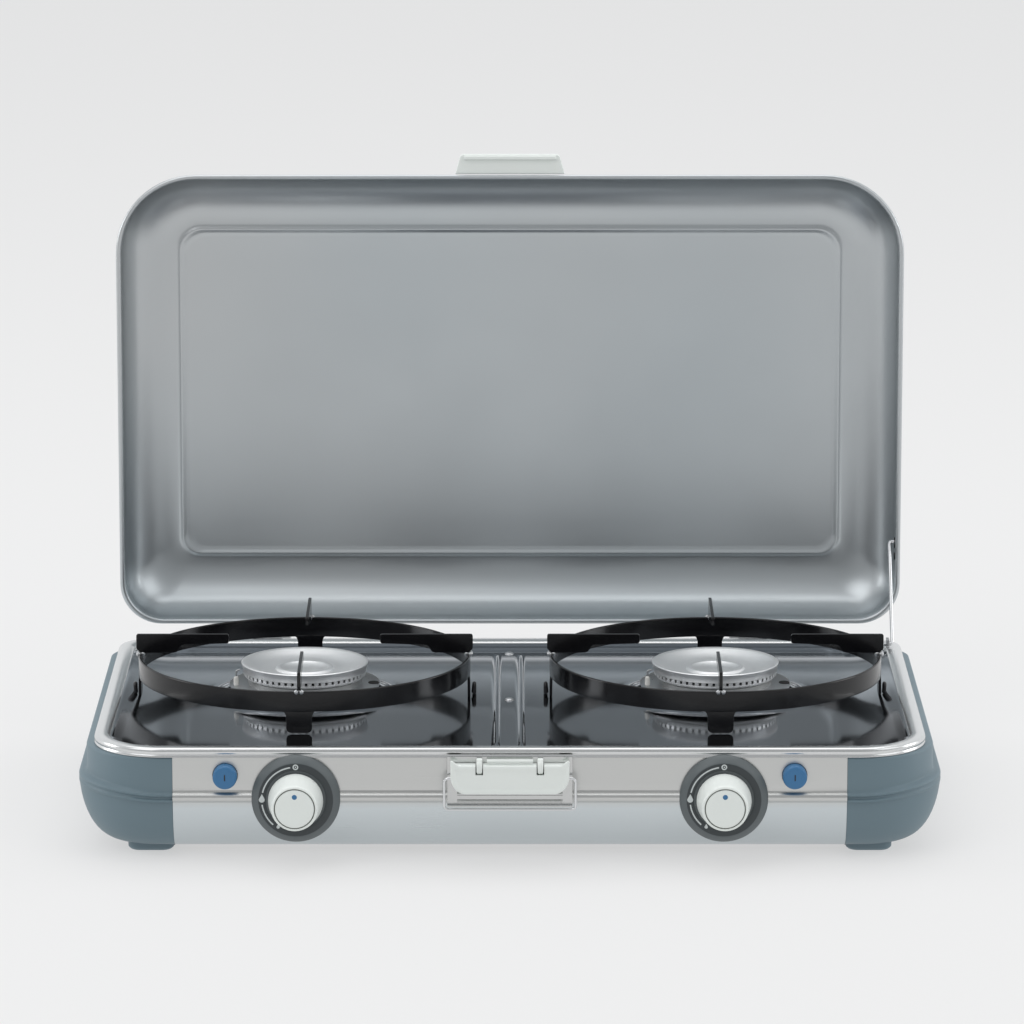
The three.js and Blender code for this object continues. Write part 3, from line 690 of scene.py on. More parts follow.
def bent(points: Sequence[Vector], radius: float, steps: int = 8) -> list[Vector]:
    """A path through corners, each rounded.

    Args:
        points: The corners.
        radius: How far from each corner the bend starts.
        steps: Divisions in each bend.

    Returns:
        Points along the path.
    """
    path = [points[0]]
    for before, corner, after in zip(points, points[1:], points[2:]):
        start = corner + (before - corner).normalized() * radius
        end = corner + (after - corner).normalized() * radius
        for i in range(steps + 1):
            t = i / steps
            path.append(start.lerp(corner, t).lerp(corner.lerp(end, t), t))
    path.append(points[-1])
    return path


def smooth_step(low: float, high: float, value: float) -> float:
    """0 below low and 1 above high, with a smooth rise between."""
    t = max(0.0, min(1.0, (value - low) / (high - low)))
    return t * t * (3 - 2 * t)


# ------------------------------------------------------------------ geometry nodes


class NodeRecipe:
    """A Geometry Nodes tree with named inputs, run once and turned into a plain mesh."""

    def __init__(self, name: str, inputs: dict[str, tuple[str, Any]]) -> None:
        """Makes the tree and its named inputs.

        Args:
            name: The tree's name.
            inputs: For each input its socket type and its default.
        """
        self.tree = bpy.data.node_groups.new(name, "GeometryNodeTree")
        face = self.tree.interface
        face.new_socket("Geometry", in_out="INPUT", socket_type="NodeSocketGeometry")
        for label, (kind, default) in inputs.items():
            made = face.new_socket(label, in_out="INPUT", socket_type=kind)
            if default is not None:
                made.default_value = default
        face.new_socket("Geometry", in_out="OUTPUT", socket_type="NodeSocketGeometry")
        self.source = self.tree.nodes.new("NodeGroupInput")
        self.sink = self.tree.nodes.new("NodeGroupOutput")

    def add(self, kind: str, links: dict | None = None, **settings: Any) -> bpy.types.Node:
        """Adds a node.

        Args:
            kind: The node's type.
            links: Sockets or values for its inputs, by name or index.
            **settings: Its settings.

        Returns:
            The node.
        """
        node = self.tree.nodes.new(kind)
        for key, setting in settings.items():
            setattr(node, key, setting)
        for key, given in (links or {}).items():
            if isinstance(given, bpy.types.NodeSocket):
                self.tree.links.new(given, node.inputs[key])
            else:
                node.inputs[key].default_value = given
        return node

    def end(self, instances: bpy.types.NodeSocket) -> None:
        """Realizes the instances, sets their material and ends the tree."""
        real = self.add("GeometryNodeRealizeInstances", {"Geometry": instances})
        dressed = self.add(
            "GeometryNodeSetMaterial",
            {"Geometry": real.outputs[0], "Material": self.source.outputs["Material"]},
        )
        self.tree.links.new(dressed.outputs[0], self.sink.inputs[0])

    def run(self, name: str, points: Sequence[Point], values: dict[str, Any], fit: Fit) -> bpy.types.Object:
        """Runs the tree on some points and fits the result to the frame.

        Args:
            name: The piece's name.
            points: The vertices that the tree starts from.
            values: A value for each named input.
            fit: The piece's body, finish and replaced nodes.

        Returns:
            The object.
        """
        seed = bpy.data.meshes.new(f"{name}_points")
        seed.from_pydata(list(points), [], [])
        holder = bpy.data.objects.new(f"{name}_points", seed)
        bpy.context.scene.collection.objects.link(holder)
        modifier = holder.modifiers.new("recipe", "NODES")
        modifier.node_group = self.tree
        keys = {s.name: s.identifier for s in self.tree.interface.items_tree if s.in_out == "INPUT"}
        for label, value in {**values, "Material": fit.finish.material()}.items():
            modifier[keys[label]] = value
        graph = bpy.context.evaluated_depsgraph_get()
        graph.update()
        mesh = bpy.data.meshes.new_from_object(holder.evaluated_get(graph))
        holder.modifiers.clear()
        bpy.data.objects.remove(holder)
        mesh.name = name
        return fit_mesh(name, mesh, fit)


def tooth_recipe() -> NodeRecipe:
    """Blocks spaced evenly round a vertical axis, such as the teeth between flame ports."""
    recipe = NodeRecipe("teeth_round_a_burner", {
        "Count": ("NodeSocketInt", 56),
        "Radius": ("NodeSocketFloat", 0.04),
        "Centre": ("NodeSocketVector", None),
        "Tooth": ("NodeSocketVector", None),
        "Material": ("NodeSocketMaterial", None),
    })
    given = recipe.source.outputs
    circle = recipe.add("GeometryNodeMeshCircle", {"Vertices": given["Count"], "Radius": given["Radius"]})
    where = recipe.add("GeometryNodeInputPosition")
    turn = recipe.add("FunctionNodeAlignEulerToVector", {"Vector": where.outputs[0]}, axis="X")
    block = recipe.add("GeometryNodeMeshCube", {"Size": given["Tooth"]})
    copies = recipe.add("GeometryNodeInstanceOnPoints", {
        "Points": circle.outputs[0], "Instance": block.outputs[0], "Rotation": turn.outputs[0],
    })
    moved = recipe.add("GeometryNodeTransform", {"Geometry": copies.outputs[0], "Translation": given["Centre"]})
    recipe.end(moved.outputs[0])
    return recipe


def head_recipe() -> NodeRecipe:
    """Domed heads standing on points, such as rivets, screws and weld nubs."""
    recipe = NodeRecipe("domed_heads", {
        "Radius": ("NodeSocketFloat", 0.003),
        "Height": ("NodeSocketFloat", 0.001),
        "Turn": ("NodeSocketVector", None),
        "Material": ("NodeSocketMaterial", None),
    })
    given = recipe.source.outputs
    ball = recipe.add("GeometryNodeMeshUVSphere", {"Segments": 20, "Rings": 10, "Radius": 1.0})
    size = recipe.add("ShaderNodeCombineXYZ", {
        "X": given["Radius"], "Y": given["Radius"], "Z": given["Height"],
    })
    dome = recipe.add("GeometryNodeTransform", {"Geometry": ball.outputs[0], "Scale": size.outputs[0]})
    copies = recipe.add("GeometryNodeInstanceOnPoints", {
        "Points": given["Geometry"], "Instance": dome.outputs[0], "Rotation": given["Turn"],
    })
    recipe.end(copies.outputs[0])
    return recipe


# ------------------------------------------------------------------ lid


@dataclass
class Lid:
    """The dished lid, standing open behind the base, with its catch and hinge leaves."""

    roll: float = 3.2 * MM
    sheet: float = 1.0 * MM
    wall: float = 9 * MM
    fillet: Pair = (31 * MM, 28 * MM)
    corner_top: float = 52 * MM
    corner_bottom: float = 27 * MM
    panel_side: float = 40 * MM
    panel_top: float = 41 * MM
    panel_bottom: float = 40 * MM
    ridge: float = 0.9 * MM
    body: str = "lid"

    def build(self) -> None:
        """Builds the shell, the catch, the hinge leaves and the painted shade of the slot for the stay's hook."""
        self.box = Span.of("lid_shell")
        fitted("lid_dished_shell", self.shell(), Fit(self.body, Finishes.lid, ("lid_shell",), crease=60))
        self.catch()
        self.hook_slot()
        for side, _ in SIDES:
            refined(f"{side}_lid_hinge_leaf", self.body, Finishes.steel, 0.3 * MM)
        self.leaf_rivets()

    def loop(self, side: float, top: float, bottom: float, depth: float) -> list[Point]:
        """One rounded outline of the lid.

        Args:
            side: The inset from each side.
            top: The inset from the top.
            bottom: The inset from the bottom.
            depth: The depth behind the mouth.

        Returns:
            The outline's points.
        """
        size = self.box.size
        middle = self.box.middle
        height = size.z - top - bottom
        high = max(self.corner_top - 0.95 * side, 15 * MM)
        low = max(self.corner_bottom - 0.38 * side, 12 * MM)
        outline = rounded(size.x - 2 * side, height, low, high, 14, 10)
        lift = middle.z + (bottom - top) / 2
        return [(middle.x + u, self.box.low.y + depth, lift + v) for u, v in outline]

    def shell(self) -> Mould:
        """The closed shell: rolled edge, wall, wide fillet, flat back and the ridge round its panel."""
        r = self.roll / 2
        deep = self.box.size.y
        floor = deep - self.sheet
        outer_in = 2 * MM
        even: list[Pair] = [(outer_in, self.roll + 0.4 * MM)]
        even += [(u, v) for u, v in arc(r, r, r, r, 150, 360, 12)]
        even.append((self.roll + 0.1 * MM, self.wall))
        inner = even + self.bowl(self.roll + 0.1 * MM, floor, self.fillet)
        outer = [(outer_in, self.wall)] + self.bowl(outer_in, deep, (self.fillet[0] + 0.2 * MM, self.fillet[1] + 1 * MM))
        loops = [self.loop(u, u, u, v) for u, v in inner]
        loops += self.panel(floor, 1)
        back = [self.loop(u, u, u, v) for u, v in outer]
        back += self.panel(deep, 1)
        return Mould().skin(list(reversed(loops)) + back)

    def bowl(self, start: float, floor: float, fillet: Pair) -> list[Pair]:
        """The fillet from the wall to the flat back, as insets and depths."""
        across, deep = fillet
        return [(u, v) for u, v in arc(start + across, floor - deep, -across, deep, 4, 90, 18)]

    def panel(self, floor: float, sign: int) -> list[list[Point]]:
        """The raised line round the middle panel and the panel itself."""
        steps = ((-3.2, 0), (-1.6, 0.15), (-0.8, 0.7), (0, 1), (0.8, 0.75), (1.8, 0.1), (3, -0.25), (5, -0.35))
        loops = []
        for inset, rise in steps:
            more = inset * MM
            depth = floor - sign * rise * self.ridge
            loops.append(self.loop(self.panel_side + more, self.panel_top + more, self.panel_bottom + more, depth))
        for more in (20 * MM, 50 * MM, 80 * MM):
            depth = floor + sign * 0.35 * self.ridge
            loops.append(self.loop(self.panel_side + more, self.panel_top + more, self.panel_bottom + more, depth))
        return loops

    def catch(self) -> None:
        """The catch on the lid's front edge, with a lip for the bail."""
        box = Span.of("lid_catch")
        size, middle = box.size, box.middle
        inset = 3 * MM
        half, head = size.x / 2, size.x / 2 - inset
        outline = [(-half, box.low.z), (half, box.low.z), (head, box.high.z - 1.5 * MM),
                   (head - 1.5 * MM, box.high.z), (1.5 * MM - head, box.high.z), (-head, box.high.z - 1.5 * MM)]
        mould = Mould().slab(outline, lambda u, v, d: (middle.x + u, box.low.y + 2 * MM + d, v), size.y - 2 * MM)
        fitted("lid_catch_plate", mould, Fit(self.body, Finishes.cream, ("lid_catch",), 0.7 * MM))
        low, high = box.high.z - 3.2 * MM, box.high.z - 0.6 * MM
        reach = head - 2.5 * MM
        lip = [(-reach, low), (reach, low), (reach, high), (-reach, high)]
        bar = Mould().slab(lip, lambda u, v, d: (middle.x + u, box.low.y + d, v), 3 * MM)
        fitted("lid_catch_lip", bar, Fit(self.body, Finishes.cream, (), 0.8 * MM))

    def hook_slot(self) -> None:
        """Thin near-black discs in the lid's right wall, painted shade for the slots that the stay hooks into."""
        rod = Span.of("stay_rod")
        x = self.box.high.x - self.roll - 0.55 * MM
        for name, drop, long in (("upper", 2, 3.6), ("lower", 11, 2.4)):
            centre = (x, rod.high.y - 1.2 * MM, rod.high.z - drop * MM)
            outline = arc(0, 0, 1.7 * MM, long * MM, 0, 360, 24)[:-1]
            put = lambda u, v, d, c=centre: (c[0] + d, c[1] + u, c[2] + v)
            fitted(f"stay_hook_slot_shade_{name}", Mould().slab(outline, put, 0.5 * MM), Fit(self.body, Finishes.hole_shade))

    def leaf_rivets(self) -> None:
        """Rivets through the hinge leaves."""
        points = []
        for side, _ in SIDES:
            leaf = Span.of(f"{side}_lid_hinge_leaf")
            for shift in (-5 * MM, 5 * MM):
                points.append((leaf.middle.x + shift, leaf.high.y - 7 * MM, leaf.high.z - 1.5 * MM))
        values = {"Radius": 2.1 * MM, "Height": 1.0 * MM, "Turn": (0.0, 0.0, 0.0)}
        head_recipe().run("lid_hinge_rivets", points, values, Fit(self.body, Finishes.steel))


# ------------------------------------------------------------------ housing


@dataclass
class Housing:
    """The base's outside: panels, end caps, rim, bottom and feet."""

    belly_top: float = 42 * MM
    belly_inset: float = 24 * MM
    belly_foot: float = 6 * MM
    bead_height: float = 41.25 * MM
    bead_radius: float = 3.25 * MM
    bead_proud: float = 2.5 * MM
    bulge: float = 5 * MM
    sheet: float = 1.5 * MM
    wall: float = 2.5 * MM
    front_radius: float = 46 * MM
    back_radius: float = 26 * MM
    button_clearance: float = 0.35 * MM
    ridge_lift: float = 4 * MM
    body: str = "base"

    def build(self) -> None:
        """Builds every piece of the housing."""
        left, right = Span.of("left_end_cap"), Span.of("right_end_cap")
        self.low = Vector((left.low.x, left.low.y, self.belly_foot))
        self.high = Vector((right.high.x, right.high.y, left.high.z))
        self.middle_y = (self.low.y + self.high.y) / 2
        self.seam = right.low.x
        self.panels()
        self.end_caps()
        self.rim()
        refined("bottom_plate", self.body, Finishes.steel, 0.3 * MM)
        self.feet()
        self.fasteners()

    def panel_outline(self) -> list[Pair]:
        """The front panel's section as distances behind its face and heights, with its bead."""
        top = self.high.z
        r = self.bead_radius
        middle = r - self.bead_proud
        lean = math.degrees(math.acos(middle / r))
        face: list[Pair] = [(0, top), (0, top - 8 * MM), (0, self.bead_height + r + 4 * MM)]
        face.append((0.25 * MM, self.bead_height + r + 1.2 * MM))
        bead = arc(middle, self.bead_height, -r, r, 90 - (90 - lean) - 2, -lean, 14)
        face += bead
        face.append((0.3 * MM, self.bead_height - r - 1.2 * MM))
        drop = self.belly_top - self.belly_foot
        face += arc(self.belly_inset, self.belly_top, -self.belly_inset, -drop, 12, 90, 20)
        face.append((self.belly_inset + 6 * MM, self.belly_foot))
        inside = [(self.belly_inset + 6 * MM, self.belly_foot + self.sheet)]
        inner = self.belly_inset - self.sheet
        inside += arc(self.belly_inset, self.belly_top, -inner, -(drop - self.sheet), 90, 0, 16)
        inside += [(self.sheet, top)]
        return face + inside

    def panels(self) -> None:
        """The brushed front and rear panels between the end caps."""
        depth = 2 * self.seam - 0.3 * MM
        start = -depth / 2
        outline = self.panel_outline()
        mould = Mould().slab(outline, lambda u, v, d: (start + d, self.low.y + u, v), depth)
        front = fitted("front_panel_sheet", mould, Fit(self.body, Finishes.panel, ("front_panel",)))
        self.pierce(front)
        mould = Mould().slab(outline, lambda u, v, d: (start + d, self.high.y - u, v), depth)
        fitted("rear_panel_sheet", mould, Fit(self.body, Finishes.panel, ("rear_panel",)))
        collar = Span.of("gas_inlet_nipple")
        centre = (collar.middle.x, self.high.y - 1.6 * MM, collar.middle.z)
        ring = [(collar.size.x / 2 + 0.2 * MM, -2.2 * MM), (9 * MM, -2.2 * MM), (9 * MM, 1.5 * MM),
                (collar.size.x / 2 + 0.2 * MM, 1.5 * MM)]
        fitted("gas_inlet_grommet", Mould().turn(ring, centre, "front"), Fit(self.body, Finishes.rubber, (), 0.4 * MM))

    def pierce(self, panel: bpy.types.Object) -> None:
        """Cuts the holes for the buttons and spindles through the front panel."""
        drill = Mould()
        for side, _ in SIDES:
            for node, extra in ((f"{side}_button", self.button_clearance), (f"{side}_knob_spindle", 2 * MM)):
                box = Span.of(node)
                radius = box.size.x / 2 + extra
                profile = [(0, -20 * MM), (radius, -20 * MM), (radius, 20 * MM), (0, 20 * MM)]
                drill.turn(profile, (box.middle.x, self.low.y, box.middle.z), "front", 48)
        carve(panel, drill, 34)

    def cap_section(self) -> list[Pair]:
        """The end caps' belly section as swell and height, from the foot up to the top of the belly."""
        drop = self.belly_top - self.belly_foot
        belly = [(-1 + math.cos(math.radians(a)), math.sin(math.radians(a))) for a in range(-90, 1, 6)]
        outer = [(self.belly_inset * u, self.belly_top + drop * v) for u, v in belly]
        return outer

    def ring_at(self, swell: float, lip: float, height: float) -> list[Point]:
        """One outline of the housing.

        Args:
            swell: How far the sides stand out of the upper housing.
            lip: How far the front and back stand out of it.
            height: Its height.

        Returns:
            The outline's points.
        """
        width = self.high.x - self.low.x - 2 * self.bulge + 2 * swell
        depth = self.high.y - self.low.y + 2 * lip
        least = 3 * MM
        front = max(self.front_radius + (swell + lip) / 2, least)
        back = max(self.back_radius + (swell + lip) / 2, least)
        share = smooth_step(self.belly_foot, 38 * MM, height) * (1 - smooth_step(47 * MM, 61 * MM, height))
        outline = rounded(width, depth, front, back, 20, 4)
        lift = [self.ridge_lift * share * smooth_step(self.seam, self.high.x + 12 * MM, abs(u)) for u, _ in outline]
        return [(u, self.middle_y + v, height + up) for (u, v), up in zip(outline, lift)]

    def end_caps(self) -> None:
        """The moulded end caps, with their shoulder, ridges and top ledge."""
        b = self.bulge
        top = self.high.z
        loops = [self.ring_at(u + b, u, v) for u, v in self.cap_section()[:-1]]
        steps = ((b, 0, 37.4), (b, 0.5, 37.9), (b, 1.9, 38.7), (b, 1.9, 39.3), (b, 0.6, 40.1), (b, 0.5, 41.2),
                 (b, 1.8, 42.0), (b, 1.8, 42.6), (b * 0.97, 0.5, 43.3), (b * 0.84, 0, 44), (b * 0.5, 0, 44.6),
                 (b * 0.2, 0, 45.1), (b * 0.05, 0, 45.6), (0, 0, 46.4))
        loops += [self.ring_at(swell, lip * MM, height * MM) for swell, lip, height in steps]
        loops += [self.ring_at(0, 0, top - 1.2 * MM), self.ring_at(-0.3 * MM, -0.3 * MM, top - 0.4 * MM)]
        loops += [self.ring_at(-1 * MM, -1 * MM, top), self.ring_at(-self.wall * 3, -self.wall, top)]
        loops += [self.ring_at(-self.wall * 3, -self.wall, top - 2 * MM), self.ring_at(-self.wall, -self.wall, top - 3 * MM)]
        loops += [self.ring_at(-self.wall, -self.wall, self.belly_top)]
        inside = [self.ring_at(u + b - self.wall, u - self.wall, v + 1.5 * MM) for u, v in self.cap_section()[:-1:3]]
        loops += list(reversed(inside))
        for side, sign in SIDES:
            made = Mould().skin(loops, closed=True).to_bmesh()
            geometry = made.verts[:] + made.edges[:] + made.faces[:]
            bmesh.ops.bisect_plane(
                made, geom=geometry, plane_co=(sign * self.seam, 0, 0), plane_no=(sign, 0, 0), clear_inner=True
            )
            open_edges = [e for e in made.edges if e.is_boundary]
            bmesh.ops.contextual_create(made, geom=open_edges)
            bmesh.ops.holes_fill(made, edges=[e for e in made.edges if e.is_boundary], sides=0)
            bmesh.ops.recalc_face_normals(made, faces=made.faces)
            fitted(f"{side}_end_cap_moulding", made, Fit(self.body, Finishes.cap_plastic, (f"{side}_end_cap",), crease=50))
            self.cap_foot(side, sign)

    def cap_foot(self, side: str, sign: int) -> None:
        """The moulded pads under the corners of an end cap."""
        for end, way in (("front", -1), ("back", 1)):
            foot = Span.of(f"{side}_{end}_foot")
            x = sign * (self.seam + 15 * MM)
            y = foot.middle.y + way * 9 * MM
            outline = rounded(29 * MM, 26 * MM, 7 * MM, 7 * MM, 8, 1)
            top = [(x + u, y + v, 12 * MM) for u, v in outline]
            mid = [(x + u * 0.97, y + v * 0.97, 3 * MM) for u, v in outline]
            low = [(x + u * 0.86, y + v * 0.86, 1.4 * MM) for u, v in outline]
            pad = Mould().skin([top, mid, low])
            fitted(f"{side}_{end}_cap_pad", pad, Fit(self.body, Finishes.cap_plastic, (), 0.5 * MM))

    def rim(self) -> None:
        """The rolled top frame, with its bright double edge."""
        box = Span.of("top_frame")
        size, middle = box.size, box.middle
        low, high = box.low.z, box.high.z
        tall = high - low
        section = [(0, 0), (0, 0.20), (0.5, 0.27), (0.5, 0.36), (0, 0.45), (0, 0.6), (0.25, 0.8), (0.9, 0.94), (2, 1),
                   (5, 1), (7.5, 0.97), (9.2, 0.86), (10.3, 0.62), (10.8, 0.3), (11, 0)]
        loops = []
        for inset, rise in section:
            shift = inset * MM
            outline = rounded(size.x - 2 * shift, size.y - 2 * shift, 43 * MM - shift, max(24 * MM - shift, 4 * MM), 20, 6)
            loops.append([(middle.x + u, middle.y + v, low + rise * tall) for u, v in outline])
        fitted("rolled_rim", Mould().skin(loops, closed=True), Fit(self.body, Finishes.rim, ("top_frame",), crease=55))

    def feet(self) -> None:
        """The rubber feet."""
        for side, _ in SIDES:
            for end in ("front", "back"):
                box = Span.of(f"{side}_{end}_foot")
                r, tall = box.size.x / 2, box.size.z
                profile = [(0, 0), (r - 2 * MM, 0), (r - 0.6 * MM, 0.5 * MM), (r, 2 * MM), (r - 0.8 * MM, tall), (0, tall)]
                centre = (box.middle.x, box.middle.y, box.low.z)
                fit = Fit(self.body, Finishes.rubber, (f"{side}_{end}_foot",))
                fitted(f"{side}_{end}_rubber_foot", Mould().turn(profile, centre, "up", 40), fit)

    def fasteners(self) -> None:
        """Rivets on the rear panel's hinge brackets and screws through the bottom plate."""
        recipe = head_recipe()
        plate = Span.of("bottom_plate")
        corners = [(sx * (plate.high.x - 60 * MM), y, plate.low.z) for _, sx in SIDES for y in
                   (plate.low.y + 14 * MM, plate.high.y - 14 * MM)]
        values = {"Radius": 3 * MM, "Height": 1.2 * MM, "Turn": (0.0, 0.0, 0.0)}
        recipe.run("bottom_plate_screws", corners, values, Fit(self.body, Finishes.steel))
        rivets = []
        for side, _ in SIDES:
            bracket = Span.of(f"{side}_hinge_bracket")
            for shift in (-9 * MM, 9 * MM):
                rivets.append((bracket.middle.x + shift, bracket.low.y + 1.5 * MM, bracket.low.z + 6 * MM))
            refined(f"{side}_hinge_bracket", self.body, Finishes.steel, 0.3 * MM)
        values = {"Radius": 2.2 * MM, "Height": 1.1 * MM, "Turn": (math.pi / 2, 0.0, 0.0)}
        recipe.run("hinge_bracket_rivets", rivets, values, Fit(self.body, Finishes.steel))


# ------------------------------------------------------------------ hob


@dataclass
class Hob:
    """The polished tray with its hills, ribs, screws and clips."""

    pitch: float = 2.5 * MM
    hill_top: float = 38 * MM
    hill_foot: float = 62 * MM
    hill_rise: float = 8 * MM
    rib_places: tuple[float, float] = (-8.1 * MM, 7.1 * MM)
    rib_width: float = 2.2 * MM
    rib_rise: float = 1.6 * MM
    edge_rise: float = 4.2 * MM
    lip: float = 4.5 * MM
    side_fillet: float = 21 * MM
    end_fillet: float = 9 * MM
    corner: float = 36 * MM
    body: str = "base"

    def build(self) -> None:
        """Builds the tray, its screws and the clips beside the pan rings."""
        self.box = Span.of("hob_tray")
        self.floor = self.box.low.z + 1.2 * MM
        self.burners = [Span.of(f"{side}_burner_cap").middle for side, _ in SIDES]
        self.tray()
        self.screws()
        for side, _ in SIDES:
            for way, _ in SIDES:
                self.clip(f"{side}_clip_{way}", 1 if way == "left" else -1)
        refined("stay_bracket", self.body, Finishes.steel, 0.25 * MM)

    def clip(self, node: str, inward: int) -> None:
        """One small hook beside a leg of a pan ring.

        Args:
            node: The clip that it stands for.
            inward: The way along X that its hook points.
        """
        box = Span.of(node)
        middle = box.middle
        r = 1.3 * MM
        corners = [Vector((middle.x, middle.y + 2 * MM, box.low.z)), Vector((middle.x, middle.y + 2 * MM, box.high.z - 3 * MM)),
                   Vector((middle.x, middle.y - 1.8 * MM, box.high.z - 3 * MM)),
                   Vector((middle.x + inward * 0.6 * MM, middle.y - 1.8 * MM, box.low.z + 1.5 * MM))]
        fit = Fit(self.body, Finishes.black, (node,), crease=60)
        fitted(f"{node}_hook", Mould().wire(bent(corners, 1.6 * MM), r, 14), fit)

    def height(self, x: float, y: float) -> float | None:
        """The tray's height at a point, or None outside it."""
        half = self.box.size.x / 2 - 2 * MM
        reach = self.box.size.y / 2 - 2 * MM
        middle = self.box.middle.y
        edge_x, edge_y = half - abs(x), reach - abs(y - middle)
        if edge_x < self.corner and edge_y < self.corner:
            edge = self.corner - math.hypot(self.corner - edge_x, self.corner - edge_y)
        else:
            edge = min(edge_x, edge_y)
        if edge < 0:
            return None
        near_x = max(0.0, 1 - (edge_x - self.lip) / self.side_fillet)
        near_y = max(0.0, 1 - (edge_y - self.lip) / self.end_fillet)
        near = min(1.0, max(math.hypot(near_x, near_y), 1 - (edge - self.lip) / self.end_fillet))
        z = self.floor + self.edge_rise * (1 - math.sqrt(max(0.0, 1 - near**2))) * 0.75
        z += self.edge_rise * 0.25 * near**2
        for burner in self.burners:
            r = math.hypot(x - burner.x, y - burner.y)
            z += self.hill_rise * (1 - smooth_step(self.hill_top, self.hill_foot, r))
        along = smooth_step(0, 12 * MM, reach - 14 * MM - abs(y - middle))
        for place in self.rib_places:
            across = max(0.0, 1 - ((x - place) / self.rib_width) ** 2)
            z += self.rib_rise * across * along
        return z

    def tray(self) -> None:
        """The pressed tray."""
        half = self.box.size.x / 2
        low, high = self.box.low.y, self.box.high.y
        xs = [-half + self.pitch * i for i in range(int(2 * half / self.pitch) + 1)]
        extra = [p + d * MM for p in self.rib_places for d in (-2.2, -1.5, -0.8, 0, 0.8, 1.5, 2.2)]
        xs = sorted(set(round(x, 5) for x in xs if all(abs(x - p) > 2.4 * MM for p in self.rib_places)) | set(extra))
        ys = [low + self.pitch * i for i in range(int((high - low) / self.pitch) + 1)]
        made = Mould().grid(xs, ys, self.height).to_bmesh(outward=False)
        for face in made.faces:
            if face.normal.z < 0:
                face.normal_flip()
        fit = Fit(self.body, Finishes.tray, ("hob_tray",), crease=70, thickness=1 * MM)
        fitted("pressed_hob_tray", made, fit)

    def screws(self) -> None:
        """The screws that hold the tray down."""
        front, back = self.box.low.y + 17 * MM, self.box.high.y - 17 * MM
        places = [(-0.5 * MM, front), (-0.5 * MM, (front + back) / 2), (-0.5 * MM, back)]
        places += [(sign * (self.box.high.x - 28 * MM), front + 4 * MM) for _, sign in SIDES]
        points = [(x, y, self.height(x, y) or self.floor) for x, y in places]
        values = {"Radius": 3 * MM, "Height": 1.5 * MM, "Turn": (0.0, 0.0, 0.0)}
        head_recipe().run("tray_screws", points, values, Fit(self.body, Finishes.steel))


